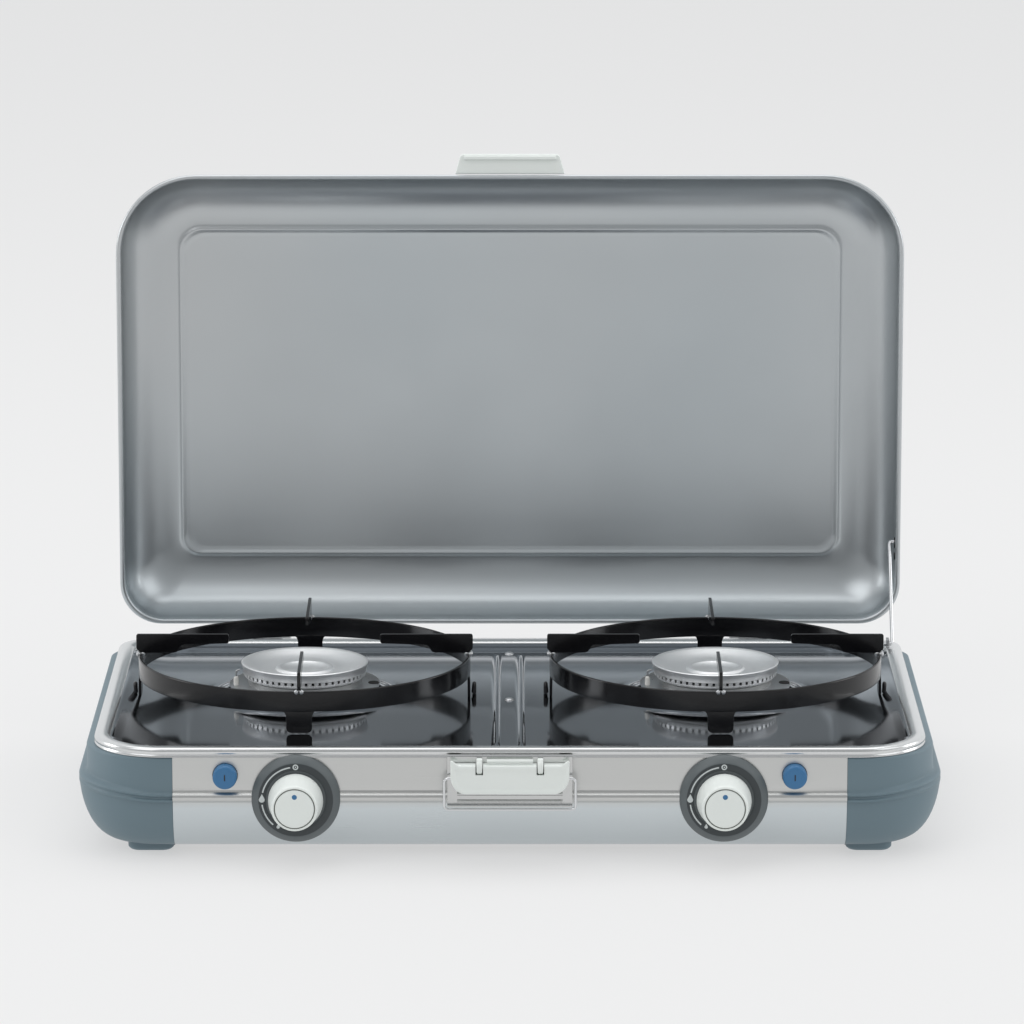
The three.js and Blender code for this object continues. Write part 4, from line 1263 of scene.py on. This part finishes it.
@dataclass
class Burner:
    """One burner: turned cap, row of ports, cup, electrode and the clip ring under it."""

    side: str
    ports: int = 56
    rim_rise: float = 2.4 * MM
    hole_reach: float = 43.6 * MM
    body: str = "base"

    def build(self) -> None:
        """Builds the burner's visible pieces."""
        self.box = Span.of(f"{self.side}_burner_cap")
        middle = self.box.middle
        self.centre = (middle.x, middle.y, self.box.low.z)
        self.alloy = Finishes.turned(self.side, (middle.x, middle.y, 0))
        self.cap()
        self.cup()
        self.air_hole()
        self.electrode()

    def cap(self) -> None:
        """The dished cap over its row of flame ports."""
        r = self.box.size.x / 2
        tall = self.box.size.z + self.rim_rise
        port_low, port_high = 2.5 * MM, 4.3 * MM
        dish = tall - 4.9 * MM
        ring = dish + 1.4 * MM
        lid = [(0, port_high), (r - 3 * MM, port_high), (r - 1.4 * MM, port_high), (r - 1.0 * MM, port_high + 0.3 * MM),
               (r - 0.4 * MM, tall - 2.2 * MM), (r, tall - 1.1 * MM), (r + 0.1 * MM, tall - 0.5 * MM),
               (r - 0.3 * MM, tall - 0.1 * MM), (r - 0.9 * MM, tall), (r - 2.2 * MM, tall - 0.1 * MM),
               (r - 3.6 * MM, tall - 0.7 * MM), (r - 6.5 * MM, tall - 2.3 * MM), (r - 10.5 * MM, dish + 0.9 * MM),
               (r - 14 * MM, dish + 0.2 * MM), (r - 17 * MM, dish), (18.6 * MM, dish), (17.8 * MM, ring - 0.3 * MM),
               (17 * MM, ring), (15.6 * MM, ring), (14.8 * MM, ring - 0.3 * MM), (13.8 * MM, dish + 0.2 * MM), (0, dish)]
        fit = Fit(self.body, self.alloy, (f"{self.side}_burner_cap",), crease=50)
        fitted(f"{self.side}_burner_cap_turned", Mould().turn(lid, self.centre), fit)
        base = [(0, 0.3 * MM), (r - 5 * MM, 0), (r - 3.2 * MM, 0.3 * MM), (r - 1.3 * MM, port_low - 0.3 * MM),
                (r - 1.2 * MM, port_low), (r - 3 * MM, port_low), (0, port_low)]
        fitted(f"{self.side}_burner_port_seat", Mould().turn(base, self.centre), Fit(self.body, self.alloy, (), crease=50))
        core = [(0, port_low - 0.1 * MM), (r - 3.2 * MM, port_low - 0.1 * MM), (r - 3.2 * MM, port_high + 0.1 * MM),
                (0, port_high + 0.1 * MM)]
        fitted(f"{self.side}_burner_port_shadow", Mould().turn(core, self.centre), Fit(self.body, Finishes.hole_shade))
        pitch = 2 * math.pi * (r - 1.2 * MM) / self.ports
        gap = 1.7 * MM
        tooth = (1.9 * MM, pitch - gap, port_high - port_low + 0.1 * MM)
        middle = Vector((self.centre[0], self.centre[1], self.centre[2] + (port_low + port_high) / 2))
        values = {"Count": self.ports, "Radius": r - 2.15 * MM, "Centre": tuple(middle), "Tooth": tooth}
        tooth_recipe().run(f"{self.side}_burner_port_teeth", [(0, 0, 0)], values, Fit(self.body, self.alloy))

    def cup(self) -> None:
        """The cup and neck that rise through the tray, with a pressed flange round them."""
        box = Span.of(f"{self.side}_burner_body")
        top = box.high.z - self.centre[2]
        r = box.size.x / 2
        profile = [(0, -34 * MM), (19 * MM, -34 * MM), (19 * MM, top - 4 * MM), (21 * MM, top - 3 * MM),
                   (r - 3 * MM, top - 2.6 * MM), (r, top - 1.6 * MM), (r, top - 0.3 * MM), (r - 0.5 * MM, top), (0, top)]
        fitted(f"{self.side}_burner_cup_cast", Mould().turn(profile, self.centre), Fit(self.body, Finishes.cast, (), crease=50))
        hill = self.centre[2] - 0.3 * MM - 3.5 * MM
        ring = [(22 * MM, 0), (46 * MM, 0), (47.5 * MM, -0.6 * MM), (47.5 * MM, 0.5 * MM), (46 * MM, 1.1 * MM), (22 * MM, 1.1 * MM)]
        low = hill - self.centre[2] - 0.6 * MM
        profile = [(u, v + low) for u, v in ring]
        fitted(f"{self.side}_burner_flange", Mould().turn(profile, self.centre), Fit(self.body, Finishes.steel, (), crease=50))

    def air_hole(self) -> None:
        """The dark oval hole beside the burner, seen through the flange, as a thin disc of painted shade."""
        at = (self.centre[0] + self.hole_reach, self.centre[1] - 3 * MM)
        level = self.centre[2] - 3.15 * MM
        outline = arc(0, 0, 3.4 * MM, 4.6 * MM, 0, 360, 32)[:-1]
        mould = Mould().slab(outline, lambda u, v, d: (at[0] + u, at[1] + v, level - d), 0.6 * MM)
        fitted(f"{self.side}_burner_air_hole_shade", mould, Fit(self.body, Finishes.hole_shade))

    def electrode(self) -> None:
        """The ceramic igniter electrode with its wire tip, and a dark ring of painted shade for its socket in the tray.
        """
        box = Span.of(f"{self.side}_electrode")
        r, tall = box.size.x / 2 - 0.4 * MM, box.size.z
        foot = (box.middle.x, box.middle.y, box.low.z)
        profile = [(0, 0), (r, 0), (r, tall - 1.6 * MM), (r * 0.75, tall - 0.4 * MM), (r * 0.35, tall), (0, tall)]
        fit = Fit(self.body, Finishes.ceramic, (f"{self.side}_electrode",))
        fitted(f"{self.side}_electrode_ceramic", Mould().turn(profile, foot, "up", 32), fit)
        tip = Vector((foot[0], foot[1], box.high.z - 0.3 * MM))
        inward = Vector((self.centre[0] - tip.x, self.centre[1] - tip.y, 0)).normalized()
        path = bent([tip, tip + Vector((0, 0, 4 * MM)), tip + Vector((0, 0, 4.4 * MM)) + inward * 2.6 * MM], 1.2 * MM)
        fitted(f"{self.side}_electrode_wire", Mould().wire(path, 0.55 * MM, 10), Fit(self.body, Finishes.steel))
        # Painted shade: a thin dark ring round the electrode's foot where its socket in the tray lies in shade.
        collar = box.high.z - 8.6 * MM - foot[2]
        socket = [(r + 0.1 * MM, collar), (r + 2.4 * MM, collar), (r + 2.4 * MM, collar + 1.3 * MM), (r + 0.1 * MM, collar + 1.3 * MM)]
        fitted(f"{self.side}_electrode_socket_shade", Mould().turn(socket, foot, "up", 32), Fit(self.body, Finishes.hole_shade))


@dataclass
class PanSupport:
    """One lift-off pan support: an enamelled ring on four legs, with four blades."""

    side: str
    leg_width: float = 16 * MM
    sheet: float = 1.8 * MM
    blade_sheet: float = 2.1 * MM

    def build(self) -> None:
        """Builds the ring, blades and weld nubs."""
        self.body = f"{self.side}_pan_support"
        self.box = Span.of(f"{self.side}_pan_ring")
        self.middle = self.box.middle
        self.radius = self.box.size.x / 2
        self.band_low = self.box.high.z - 13 * MM
        fit = Fit(self.body, Finishes.enamel, (f"{self.side}_pan_ring",), 0.35 * MM)
        fitted(f"{self.side}_pan_ring_enamelled", self.ring(), fit)
        for i, quarter in enumerate(("front", "right", "back", "left")):
            self.blade(quarter, math.radians(-90 + 90 * i))
        self.nubs()

    def put(self, radius: float, across: float, height: float, angle: float) -> Point:
        """A place given by its distance from the ring's axis along an angle, and across it."""
        x = self.middle.x + radius * math.cos(angle) - across * math.sin(angle)
        y = self.middle.y + radius * math.sin(angle) + across * math.cos(angle)
        return (x, y, height)

    def ring(self) -> Mould:
        """The band with softened edges, and its four legs."""
        outer, inner = self.radius, self.radius - self.sheet
        high, low = self.box.high.z, self.band_low
        soft = 0.5 * MM
        profile = [(inner, low + soft), (inner + soft, low), (outer - soft, low), (outer, low + soft),
                   (outer, high - soft), (outer - soft, high), (inner + soft, high), (inner, high - soft)]
        mould = Mould().turn(profile, (self.middle.x, self.middle.y, 0), "up", 128)
        foot = self.box.low.z
        w = self.leg_width / 2
        curve = 3 * MM
        for quarter in range(4):
            angle = math.radians(90 * quarter)
            outline = [(-w - curve, low + 1 * MM), (-w - curve * 0.3, low - 0.4 * MM), (-w, low - curve)]
            outline += arc(-w + curve, foot + curve, curve, curve, 180, 270, 6)
            outline += arc(w - curve, foot + curve, curve, curve, 270, 360, 6)
            outline += [(w, low - curve), (w + curve * 0.3, low - 0.4 * MM), (w + curve, low + 1 * MM)]
            loops = []
            for depth in (-0.05 * MM, self.sheet - 0.1 * MM):
                loops.append([self.leg_point(u, v, depth, angle, low) for u, v in outline])
            mould.skin(loops)
        return mould

    def leg_point(self, across: float, height: float, depth: float, angle: float, low: float) -> Point:
        """A point of a leg, which is flat at its foot and follows the band where it joins it."""
        blend = smooth_step(-6 * MM, 0.0, height - low)
        chord = math.sqrt(max(self.radius**2 - across**2, 0))
        radius = (self.radius * (1 - blend) + chord * blend) - depth - 0.1 * MM
        return self.put(radius, across, height, angle)

    def blade(self, quarter: str, angle: float) -> None:
        """One blade: shallow at its tip and deep where it stands on the band."""
        node = f"{self.side}_pan_arm_{quarter}"
        box = Span.of(node)
        low, high = box.low.z, box.high.z
        along_x = box.size.x > box.size.y
        reach = max(abs(box.low.x - self.middle.x), abs(box.high.x - self.middle.x)) if along_x else max(
            abs(box.low.y - self.middle.y), abs(box.high.y - self.middle.y))
        long = max(box.size.x, box.size.y)
        tip = reach - long
        soft = 1.6 * MM
        outline = arc(tip + soft, high - soft, soft, soft, 90, 180, 5)
        outline += arc(tip + soft, high - 6.1 * MM + soft, soft, soft, 180, 262, 5)
        outline += [(tip + 28 * MM, high - 7.0 * MM), (tip + 30 * MM, high - 7.4 * MM), (tip + 33 * MM, low + 0.7 * MM),
                    (tip + 35 * MM, low + 0.2 * MM), (reach - 4 * MM, low), (reach - 2 * MM, low + 0.6 * MM),
                    (reach, low + 3 * MM), (reach, high - 1 * MM), (reach - 0.6 * MM, high - 0.1 * MM), (reach - 2 * MM, high)]
        half = self.blade_sheet / 2
        put = lambda u, v, d: self.put(u, d - half, v, angle)
        mould = Mould().slab(outline, put, self.blade_sheet)
        fitted(f"{node}_blade", mould, Fit(self.body, Finishes.enamel, (node,), 0.4 * MM))

    def nubs(self) -> None:
        """The bright weld nubs where each blade meets the ring."""
        top = self.box.high.z
        points = []
        for quarter in range(4):
            angle = math.radians(90 * quarter)
            for across in (-1.6 * MM, 1.6 * MM):
                points.append(self.put(self.radius + 0.1 * MM, across, top - 0.2 * MM, angle))
            points.append(self.put(self.radius - 2.6 * MM, 0, top - 0.3 * MM, angle))
        values = {"Radius": 1.5 * MM, "Height": 1.6 * MM, "Turn": (0.0, 0.0, 0.0)}
        head_recipe().run(f"{self.side}_pan_support_welds", points, values, Fit(self.body, Finishes.steel))


# ------------------------------------------------------------------ controls


@dataclass
class Control:
    """One knob with its bezel, dial marks, spindle and igniter button."""

    side: str

    def build(self) -> None:
        """Builds the bezel, marks, knob and button."""
        self.bezel_box = Span.of(f"{self.side}_bezel")
        self.knob_box = Span.of(f"{self.side}_knob")
        self.bezel()
        self.marks()
        self.knob()
        self.button()

    def bezel(self) -> None:
        """The charcoal bezel: a bevelled disc that fits the panel's curve, its rim a lighter grey than its face as a
        painted highlight.
        """
        node = f"{self.side}_bezel"
        box = self.bezel_box
        r = box.size.x / 2
        front = box.low.y
        reach = box.size.y
        profile = [(0, reach - 13.2 * MM), (r, reach - 13.2 * MM), (r, reach - 3.6 * MM), (r - 0.3 * MM, reach - 3.0 * MM),
                   (r - 3.4 * MM, reach - 0.5 * MM), (r - 4.0 * MM, reach - 0.1 * MM), (r - 4.6 * MM, reach),
                   (18.6 * MM, reach), (18.2 * MM, reach - 0.5 * MM), (0, reach - 0.5 * MM)]
        centre = (box.middle.x, front + reach, box.middle.z)
        mould = Mould().turn(profile, centre, "front", 128)
        fitted(f"{self.side}_bezel_moulding", mould, Fit("base", Finishes.bezel_rim_highlight, (node,), crease=28))
        disc = [(18.4 * MM, reach - 0.3 * MM), (r - 4.3 * MM, reach - 0.3 * MM), (r - 4.3 * MM, reach - 0.02 * MM),
                (r - 4.5 * MM, reach + 0.06 * MM), (18.7 * MM, reach + 0.06 * MM), (18.4 * MM, reach - 0.02 * MM)]
        face = Mould().turn(disc, centre, "front", 128)
        fitted(f"{self.side}_bezel_face", face, Fit("base", Finishes.charcoal, (), crease=28))

    def marks(self) -> None:
        """The dial marks: a ringed dot for off, an arc, a flame for high and an arc to low."""
        face = self.bezel_box.low.y
        cx, cz = self.bezel_box.middle.x, self.bezel_box.middle.z
        scale = 20.6 * MM
        thick = 0.42 * MM
        deep = 0.16 * MM
        put = lambda u, v, d: (cx + u, face - d, cz + v)
        mould = Mould()
        for start, end in ((99, 167), (188, 228)):
            outer = arc(0, 0, scale + thick, scale + thick, start, end, 24)
            inner = arc(0, 0, scale - thick, scale - thick, end, start, 24)
            mould.slab(outer + inner, put, deep)
        dot_z = scale
        ring = [(1.0 * MM, 0), (1.75 * MM, 0), (1.75 * MM, deep), (1.0 * MM, deep)]
        mould.turn(ring, (cx, face, cz + dot_z), "front", 32)
        mould.turn([(0, 0), (0.45 * MM, 0), (0.45 * MM, deep), (0, deep)], (cx, face, cz + dot_z), "front", 20)
        for angle, size, reach in ((178, 2.1 * MM, scale), (237, 1.2 * MM, scale - 0.9 * MM)):
            a = math.radians(angle)
            at = (reach * math.cos(a), reach * math.sin(a))
            flame = arc(at[0], at[1] - 0.25 * size, 0.85 * size, 0.8 * size, 155, 385, 20)
            flame += [(at[0] + 0.45 * size, at[1] + 0.75 * size), (at[0] + 0.05 * size, at[1] + 1.5 * size),
                      (at[0] - 0.4 * size, at[1] + 0.7 * size)]
            mould.slab(flame, put, deep)
        fitted(f"{self.side}_dial_marks", mould, Fit("base", Finishes.ink, (), crease=30))

    def knob(self) -> None:
        """The white knob: a flared skirt, a drum and a grooved face with its pointer dot."""
        node = f"{self.side}_knob"
        box = self.knob_box
        body = node
        r, deep = box.size.x / 2, box.size.y
        face = 12.9 * MM
        ring = 12.1 * MM
        centre = (box.middle.x, box.high.y, box.middle.z)
        profile = [(0, 0.4 * MM), (r - 0.8 * MM, 0), (r - 0.1 * MM, 0.2 * MM), (r, 1.0 * MM), (r - 0.15 * MM, 3.4 * MM),
                   (r - 0.5 * MM, 4.6 * MM), (face + 1.5 * MM, deep - 3.2 * MM), (face + 1.15 * MM, deep - 1.6 * MM),
                   (face + 0.7 * MM, deep - 0.5 * MM), (face + 0.1 * MM, deep - 0.1 * MM), (face - 0.4 * MM, deep - 0.1 * MM),
                   (face - 0.45 * MM, deep - 0.7 * MM), (ring - 0.35 * MM, deep - 0.7 * MM), (ring - 0.4 * MM, deep - 0.12 * MM),
                   (ring - 1.0 * MM, deep), (6 * MM, deep - 0.2 * MM), (0, deep - 0.3 * MM)]
        fitted(f"{node}_moulding", Mould().turn(profile, centre, "front", 128), Fit(body, Finishes.cream, (node,), crease=40))
        shadow = [(ring - 0.3 * MM, deep - 0.68 * MM), (face - 0.5 * MM, deep - 0.68 * MM),
                  (face - 0.5 * MM, deep - 0.5 * MM), (ring - 0.3 * MM, deep - 0.5 * MM)]
        fitted(f"{node}_groove", Mould().turn(shadow, centre, "front", 96), Fit(body, Finishes.groove))
        at = (centre[0], centre[1], centre[2] + 7.4 * MM)
        dot = [(0, deep - 0.5 * MM), (1.55 * MM, deep - 0.5 * MM), (1.55 * MM, deep - 0.1 * MM),
               (1.3 * MM, deep + 0.02 * MM), (0, deep + 0.05 * MM)]
        fitted(f"{node}_pointer", Mould().turn(dot, at, "front", 40), Fit(body, Finishes.blue))

    def button(self) -> None:
        """The blue igniter button and the small dark mark on its face."""
        node = f"{self.side}_button"
        box = Span.of(node)
        r, deep = box.size.z / 2, box.size.y
        centre = (box.middle.x, box.high.y, box.middle.z)
        profile = [(0, 0), (r, 0), (r, deep - 1.6 * MM), (r - 0.35 * MM, deep - 0.7 * MM), (r - 1.1 * MM, deep - 0.15 * MM),
                   (r - 1.9 * MM, deep), (0, deep - 0.25 * MM)]
        fitted(f"{node}_moulding", Mould().turn(profile, centre, "front", 72), Fit(node, Finishes.blue, (node,), crease=40))
        mark = [(-0.35 * MM, -1.9 * MM), (0.35 * MM, -1.9 * MM), (0.35 * MM, 1.9 * MM), (-0.35 * MM, 1.9 * MM)]
        put = lambda u, v, d: (centre[0] + u, box.low.y + 0.35 * MM - d, centre[2] + v)
        fitted(f"{node}_notch", Mould().slab(mark, put, 0.25 * MM), Fit(node, Finishes.black))


@dataclass
class Latch:
    """The draw latch: backing plate, lever and wire bail."""

    corner: Pair = (9.5 * MM, 11 * MM)
    ear: float = 3 * MM
    skin: float = 2 * MM
    lug_place: float = 18.5 * MM
    lug_width: float = 3.4 * MM
    lug_radius: float = 4.9 * MM
    slot_width: float = 4.6 * MM
    slot_floor: float = 5 * MM
    bar_half: float = 14 * MM
    wire: float = 0.85 * MM

    def build(self) -> None:
        """Builds the plate, the lever and the bail."""
        self.box = Span.of("latch_lever")
        joint = next(j for j in frame["record"]["behaviour"]["joints"] if j["child"] == "latch_lever")
        self.axis = Vector(joint["pos_m"])
        refined("latch_plate", "base", Finishes.pressed, 0.35 * MM)
        self.plate_bars()
        self.lever()
        self.lever_trim()
        self.lugs()
        self.bail()

    def plate_bars(self) -> None:
        """Two pressed bars across the visible foot of the plate."""
        plate = Span.of("latch_plate")
        face = Span.of("left_end_cap").low.y - 3.7 * MM
        reach = plate.high.x - 6 * MM
        for name, height in (("upper", self.box.low.z - 1.6 * MM), ("lower", self.box.low.z - 6.2 * MM)):
            path = [Vector((-reach, face, height)), Vector((0, face, height)), Vector((reach, face, height))]
            fit = Fit("base", Finishes.pressed, (), crease=50)
            fitted(f"latch_plate_bar_{name}", Mould().wire(path, 1.1 * MM, 16), fit)

    def outline(self, inset: float, y: float) -> list[Point]:
        """The lever's outline, inset, at one depth."""
        half = self.box.high.x - inset
        low, high = self.box.low.z + inset, self.box.high.z - self.ear - inset
        rx, rz = self.corner[0] - 0.8 * inset, self.corner[1] - 0.8 * inset
        points = [(-half, high)]
        points += arc(rx - half, low + rz, rx, rz, 180, 270, 12)
        points += arc(half - rx, low + rz, rx, rz, 270, 360, 12)
        points += [(half, high), (0, high)]
        return [(u, y, v) for u, v in points]

    def lever(self) -> None:
        """The lever: a shallow tray whose face is sunk inside a soft raised edge."""
        front, back = self.box.low.y, self.box.high.y - 0.2 * MM
        steps = ((2.0, front + 2.7 * MM), (2.0, back), (0.4, back), (0, back - 0.5 * MM), (0, front + 0.8 * MM),
                 (0.3, front + 0.2 * MM), (0.9, front), (1.9, front), (2.7, front + 0.3 * MM), (3.6, front + 0.7 * MM))
        mould = Mould().skin([self.outline(inset * MM, y) for inset, y in steps])
        tray = fitted("latch_lever_tray", mould, Fit("latch_lever", Finishes.cream, ("latch_lever",), crease=50))
        slots = Mould()
        for _, sign in SIDES:
            x, floor = sign * self.lug_place, self.axis.z - self.slot_floor
            low, high = x - self.slot_width / 2, x + self.slot_width / 2
            outline = [(low, floor), (high, floor), (high, self.box.high.z + 1 * MM), (low, self.box.high.z + 1 * MM)]
            slots.slab(outline, lambda u, v, d: (u, front - 1 * MM + d, v), self.box.size.y + 2 * MM)
        carve(tray, slots, 50)

    def lever_trim(self) -> None:
        """The lever's pointed ears and the bar along its upper edge."""
        body, front = "latch_lever", self.box.low.y
        base = self.box.high.z - self.ear
        for side, sign in SIDES:
            half = self.box.high.x
            ear = [(half - 6.5 * MM, base - 1 * MM), (half, base - 1 * MM), (half + 0.1 * MM, base + 2.2 * MM),
                   (half - 0.8 * MM, base + 3 * MM), (half - 2.2 * MM, base + 1.9 * MM), (half - 4.2 * MM, base + 0.4 * MM)]
            put = lambda u, v, d, sign=sign: (sign * u, front + d, v)
            fitted(f"latch_lever_ear_{side}", Mould().slab(ear, put, 2.6 * MM), Fit(body, Finishes.cream, (), 0.5 * MM))
        at = self.axis + Vector((0, -0.5 * MM, 3.2 * MM))
        across = Vector((self.bar_half, 0, 0))
        bar = Mould().wire([at - across, at, at + across], 1.1 * MM, 16)
        fitted("latch_lever_bar", bar, Fit(body, Finishes.cream, (), crease=50))

    def lugs(self) -> None:
        """The two rounded lugs that the lever turns on."""
        w, r = self.lug_width / 2, self.lug_radius
        soft = 0.5 * MM
        profile = [(0, -w), (r - soft, -w), (r, soft - w), (r, w - soft), (r - soft, w), (0, w)]
        for side, sign in SIDES:
            centre = (sign * self.lug_place, self.axis.y, self.axis.z)
            mould = Mould().turn(profile, centre, "side", 40)
            fitted(f"latch_lug_{side}", mould, Fit("base", Finishes.cream, (), crease=50))

    def bail(self) -> None:
        """The bright wire bail that hangs round the lever."""
        box = Span.of("latch_bail")
        r = self.wire
        y = box.middle.y
        x, low, top = box.high.x - r, box.low.z + r, box.high.z - r
        inner = self.box.high.x - 2.5 * MM
        corners = [Vector(p) for p in ((-inner, y, top), (-x, y, top), (-x, y, low), (x, y, low), (x, y, top), (inner, y, top))]
        wire = Mould().wire(bent(corners, 3 * MM), r, 16)
        fitted("latch_bail_wire", wire, Fit("latch_bail", Finishes.chrome, ("latch_bail",), crease=60))


# ------------------------------------------------------------------ stay and gas path


@dataclass
class Stay:
    """The lid stay: a bent wire from its lug on the rim to its hook in the lid's wall."""

    radius: float = 1.2 * MM

    def build(self) -> None:
        """Builds the rod."""
        box = Span.of("stay_rod")
        joint = next(j for j in frame["record"]["behaviour"]["joints"] if j["child"] == "stay")
        pivot = Vector(joint["pos_m"])
        hook = Vector((pivot.x, box.high.y - self.radius, box.high.z - self.radius))
        corners = [Vector((box.low.x, pivot.y, pivot.z)), pivot, hook, Vector((box.high.x, hook.y, hook.z))]
        rod = Mould().wire(bent(corners, 2.4 * MM), self.radius, 16)
        fitted("lid_stay_wire", rod, Fit("stay", Finishes.chrome, ("stay_rod",), crease=60))


@dataclass
class GasPath:
    """The gas pieces: the barbed inlet at the back, and the taps, rail and leads inside."""

    def build(self) -> None:
        """Builds the inlet and dresses the pieces inside the base."""
        self.inlet()
        finishes = {"gas_rail": Finishes.steel}
        for side, _ in SIDES:
            finishes[f"{side}_gas_tap"] = Finishes.brass
            finishes[f"{side}_injector"] = Finishes.brass
            finishes[f"{side}_burner_body"] = Finishes.cast
            finishes[f"{side}_igniter"] = Finishes.black
            finishes[f"{side}_igniter_lead"] = Finishes.black
            finishes[f"{side}_knob_spindle"] = Finishes.brass
        for node, finish in finishes.items():
            slots = frame["nodes"][node].data.materials
            slots.clear()
            slots.append(finish.material())

    def inlet(self) -> None:
        """The brass hose tail with its barbs."""
        box = Span.of("gas_inlet_nipple")
        r, long = box.size.x / 2, box.size.y
        start = box.low.y
        profile = [(0, 0), (r - 1.4 * MM, 0)]
        tail = long - 20 * MM
        profile.append((r - 1.4 * MM, tail))
        for i in range(3):
            foot = tail + i * 6.6 * MM
            profile += [(r, foot + 1 * MM), (r - 0.3 * MM, foot + 1.6 * MM), (r - 1.4 * MM, foot + 6.2 * MM)]
        profile += [(r - 2.0 * MM, long - 0.1 * MM), (2.2 * MM, long), (2.0 * MM, long - 6 * MM), (0, long - 6 * MM)]
        turned = [(radius, -height) for radius, height in reversed(profile)]
        mould = Mould().turn(turned, (box.middle.x, start, box.middle.z), "front", 48)
        fitted("gas_inlet_hose_tail", mould, Fit("base", Finishes.brass, ("gas_inlet_nipple",), crease=40))


# ------------------------------------------------------------------ studio


@dataclass
class Studio:
    """A plain pale floor, soft light and the camera."""

    floor_colour: Colour = (0.30, 0.30, 0.30)
    floor_glow: float = 0.52
    distance: float = 3.67
    eye: float = 0.95
    aim: Pair = (0.196, 0.1465)
    shift_x: float = 0.0013
    lens: float = 210.0

    def build(self) -> None:
        """Builds the floor, the lights and the camera."""
        bpy.context.scene.view_settings.view_transform = "Standard"
        self.floor()
        self.world()
        self.light("key_panel", (-1.8, -2.2, 3.0), (0, 0, 0.1), 2.6, 24)
        self.light("fill_panel", (2.6, -1.6, 2.2), (0, 0, 0.15), 2.2, 12)
        self.light("top_panel", (0, 0.5, 3.2), (0, 0, 0), 3.0, 30)
        self.light("left_strip", (-2.4, 0.2, 0.75), (0, 0.1, 0.1), 0.9, 9)
        self.light("right_strip", (2.4, 0.3, 0.7), (0, 0.1, 0.1), 0.9, 8)
        self.camera()

    def floor(self) -> None:
        """The floor, which glows a little as a lit table does."""
        reach = 40.0
        mesh = bpy.data.meshes.new("floor")
        corners = [(-reach, -reach, 0), (reach, -reach, 0), (reach, reach, 0), (-reach, reach, 0)]
        mesh.from_pydata(corners, [], [(0, 1, 2, 3)])
        floor = bpy.data.objects.new("floor", mesh)
        bpy.context.scene.collection.objects.link(floor)
        inputs = {
            "Base Color": (*self.floor_colour, 1),
            "Roughness": 0.9,
            "Specular IOR Level": 0.1,
            "Emission Color": (1, 1, 1, 1),
            "Emission Strength": self.floor_glow,
        }
        mesh.materials.append(Shader("pale_floor").close(inputs))

    def world(self) -> None:
        """A pale surround, darker in front and brighter overhead."""
        world = bpy.data.worlds.new("studio")
        world.use_nodes = True
        tree = world.node_tree
        where = tree.nodes.new("ShaderNodeTexCoord")
        parts = tree.nodes.new("ShaderNodeSeparateXYZ")
        tree.links.new(where.outputs["Generated"], parts.inputs[0])
        ramp = tree.nodes.new("ShaderNodeMapRange")
        tree.links.new(parts.outputs["Y"], ramp.inputs["Value"])
        for key, value in {"From Min": -1.0, "From Max": 0.5, "To Min": 0.42, "To Max": 0.9}.items():
            ramp.inputs[key].default_value = value
        background = tree.nodes["Background"]
        background.inputs["Color"].default_value = (0.97, 0.985, 1, 1)
        tree.links.new(ramp.outputs["Result"], background.inputs["Strength"])
        bpy.context.scene.world = world

    def light(self, name: str, place: Point, towards: Point, size: float, power: float) -> None:
        """A square soft light.

        Args:
            name: Its name.
            place: Where it stands.
            towards: The point that it faces.
            size: Its side.
            power: Its power in watts.
        """
        data = bpy.data.lights.new(name, "AREA")
        data.shape = "SQUARE"
        data.size = size
        data.energy = power
        lamp = bpy.data.objects.new(name, data)
        bpy.context.scene.collection.objects.link(lamp)
        lamp.location = place
        lamp.rotation_euler = (Vector(towards) - Vector(place)).to_track_quat("-Z", "Y").to_euler()

    def camera(self) -> None:
        """The camera in front, looking a little down."""
        middle = (Span.of("left_end_cap").low.y + Span.of("left_end_cap").high.y) / 2
        data = bpy.data.cameras.new("camera")
        data.lens = self.lens
        data.sensor_width = 36
        data.clip_end = 200
        camera = bpy.data.objects.new("camera", data)
        bpy.context.scene.collection.objects.link(camera)
        place = Vector((self.shift_x, middle - self.distance, self.eye))
        target = Vector((self.shift_x, middle + self.aim[0], self.aim[1]))
        camera.location = place
        camera.rotation_euler = (target - place).to_track_quat("-Z", "Y").to_euler()
        bpy.context.scene.camera = camera


def main() -> None:
    logging.basicConfig(level=logging.INFO, format="%(name)s: %(message)s")
    makers: list[Any] = [Housing(), Hob(), Lid(), Stay(), Latch(), GasPath()]
    for side, _ in SIDES:
        makers += [Burner(side), PanSupport(side), Control(side)]
    for maker in makers:
        maker.build()
    Studio().build()


if __name__ == "__main__":
    main()
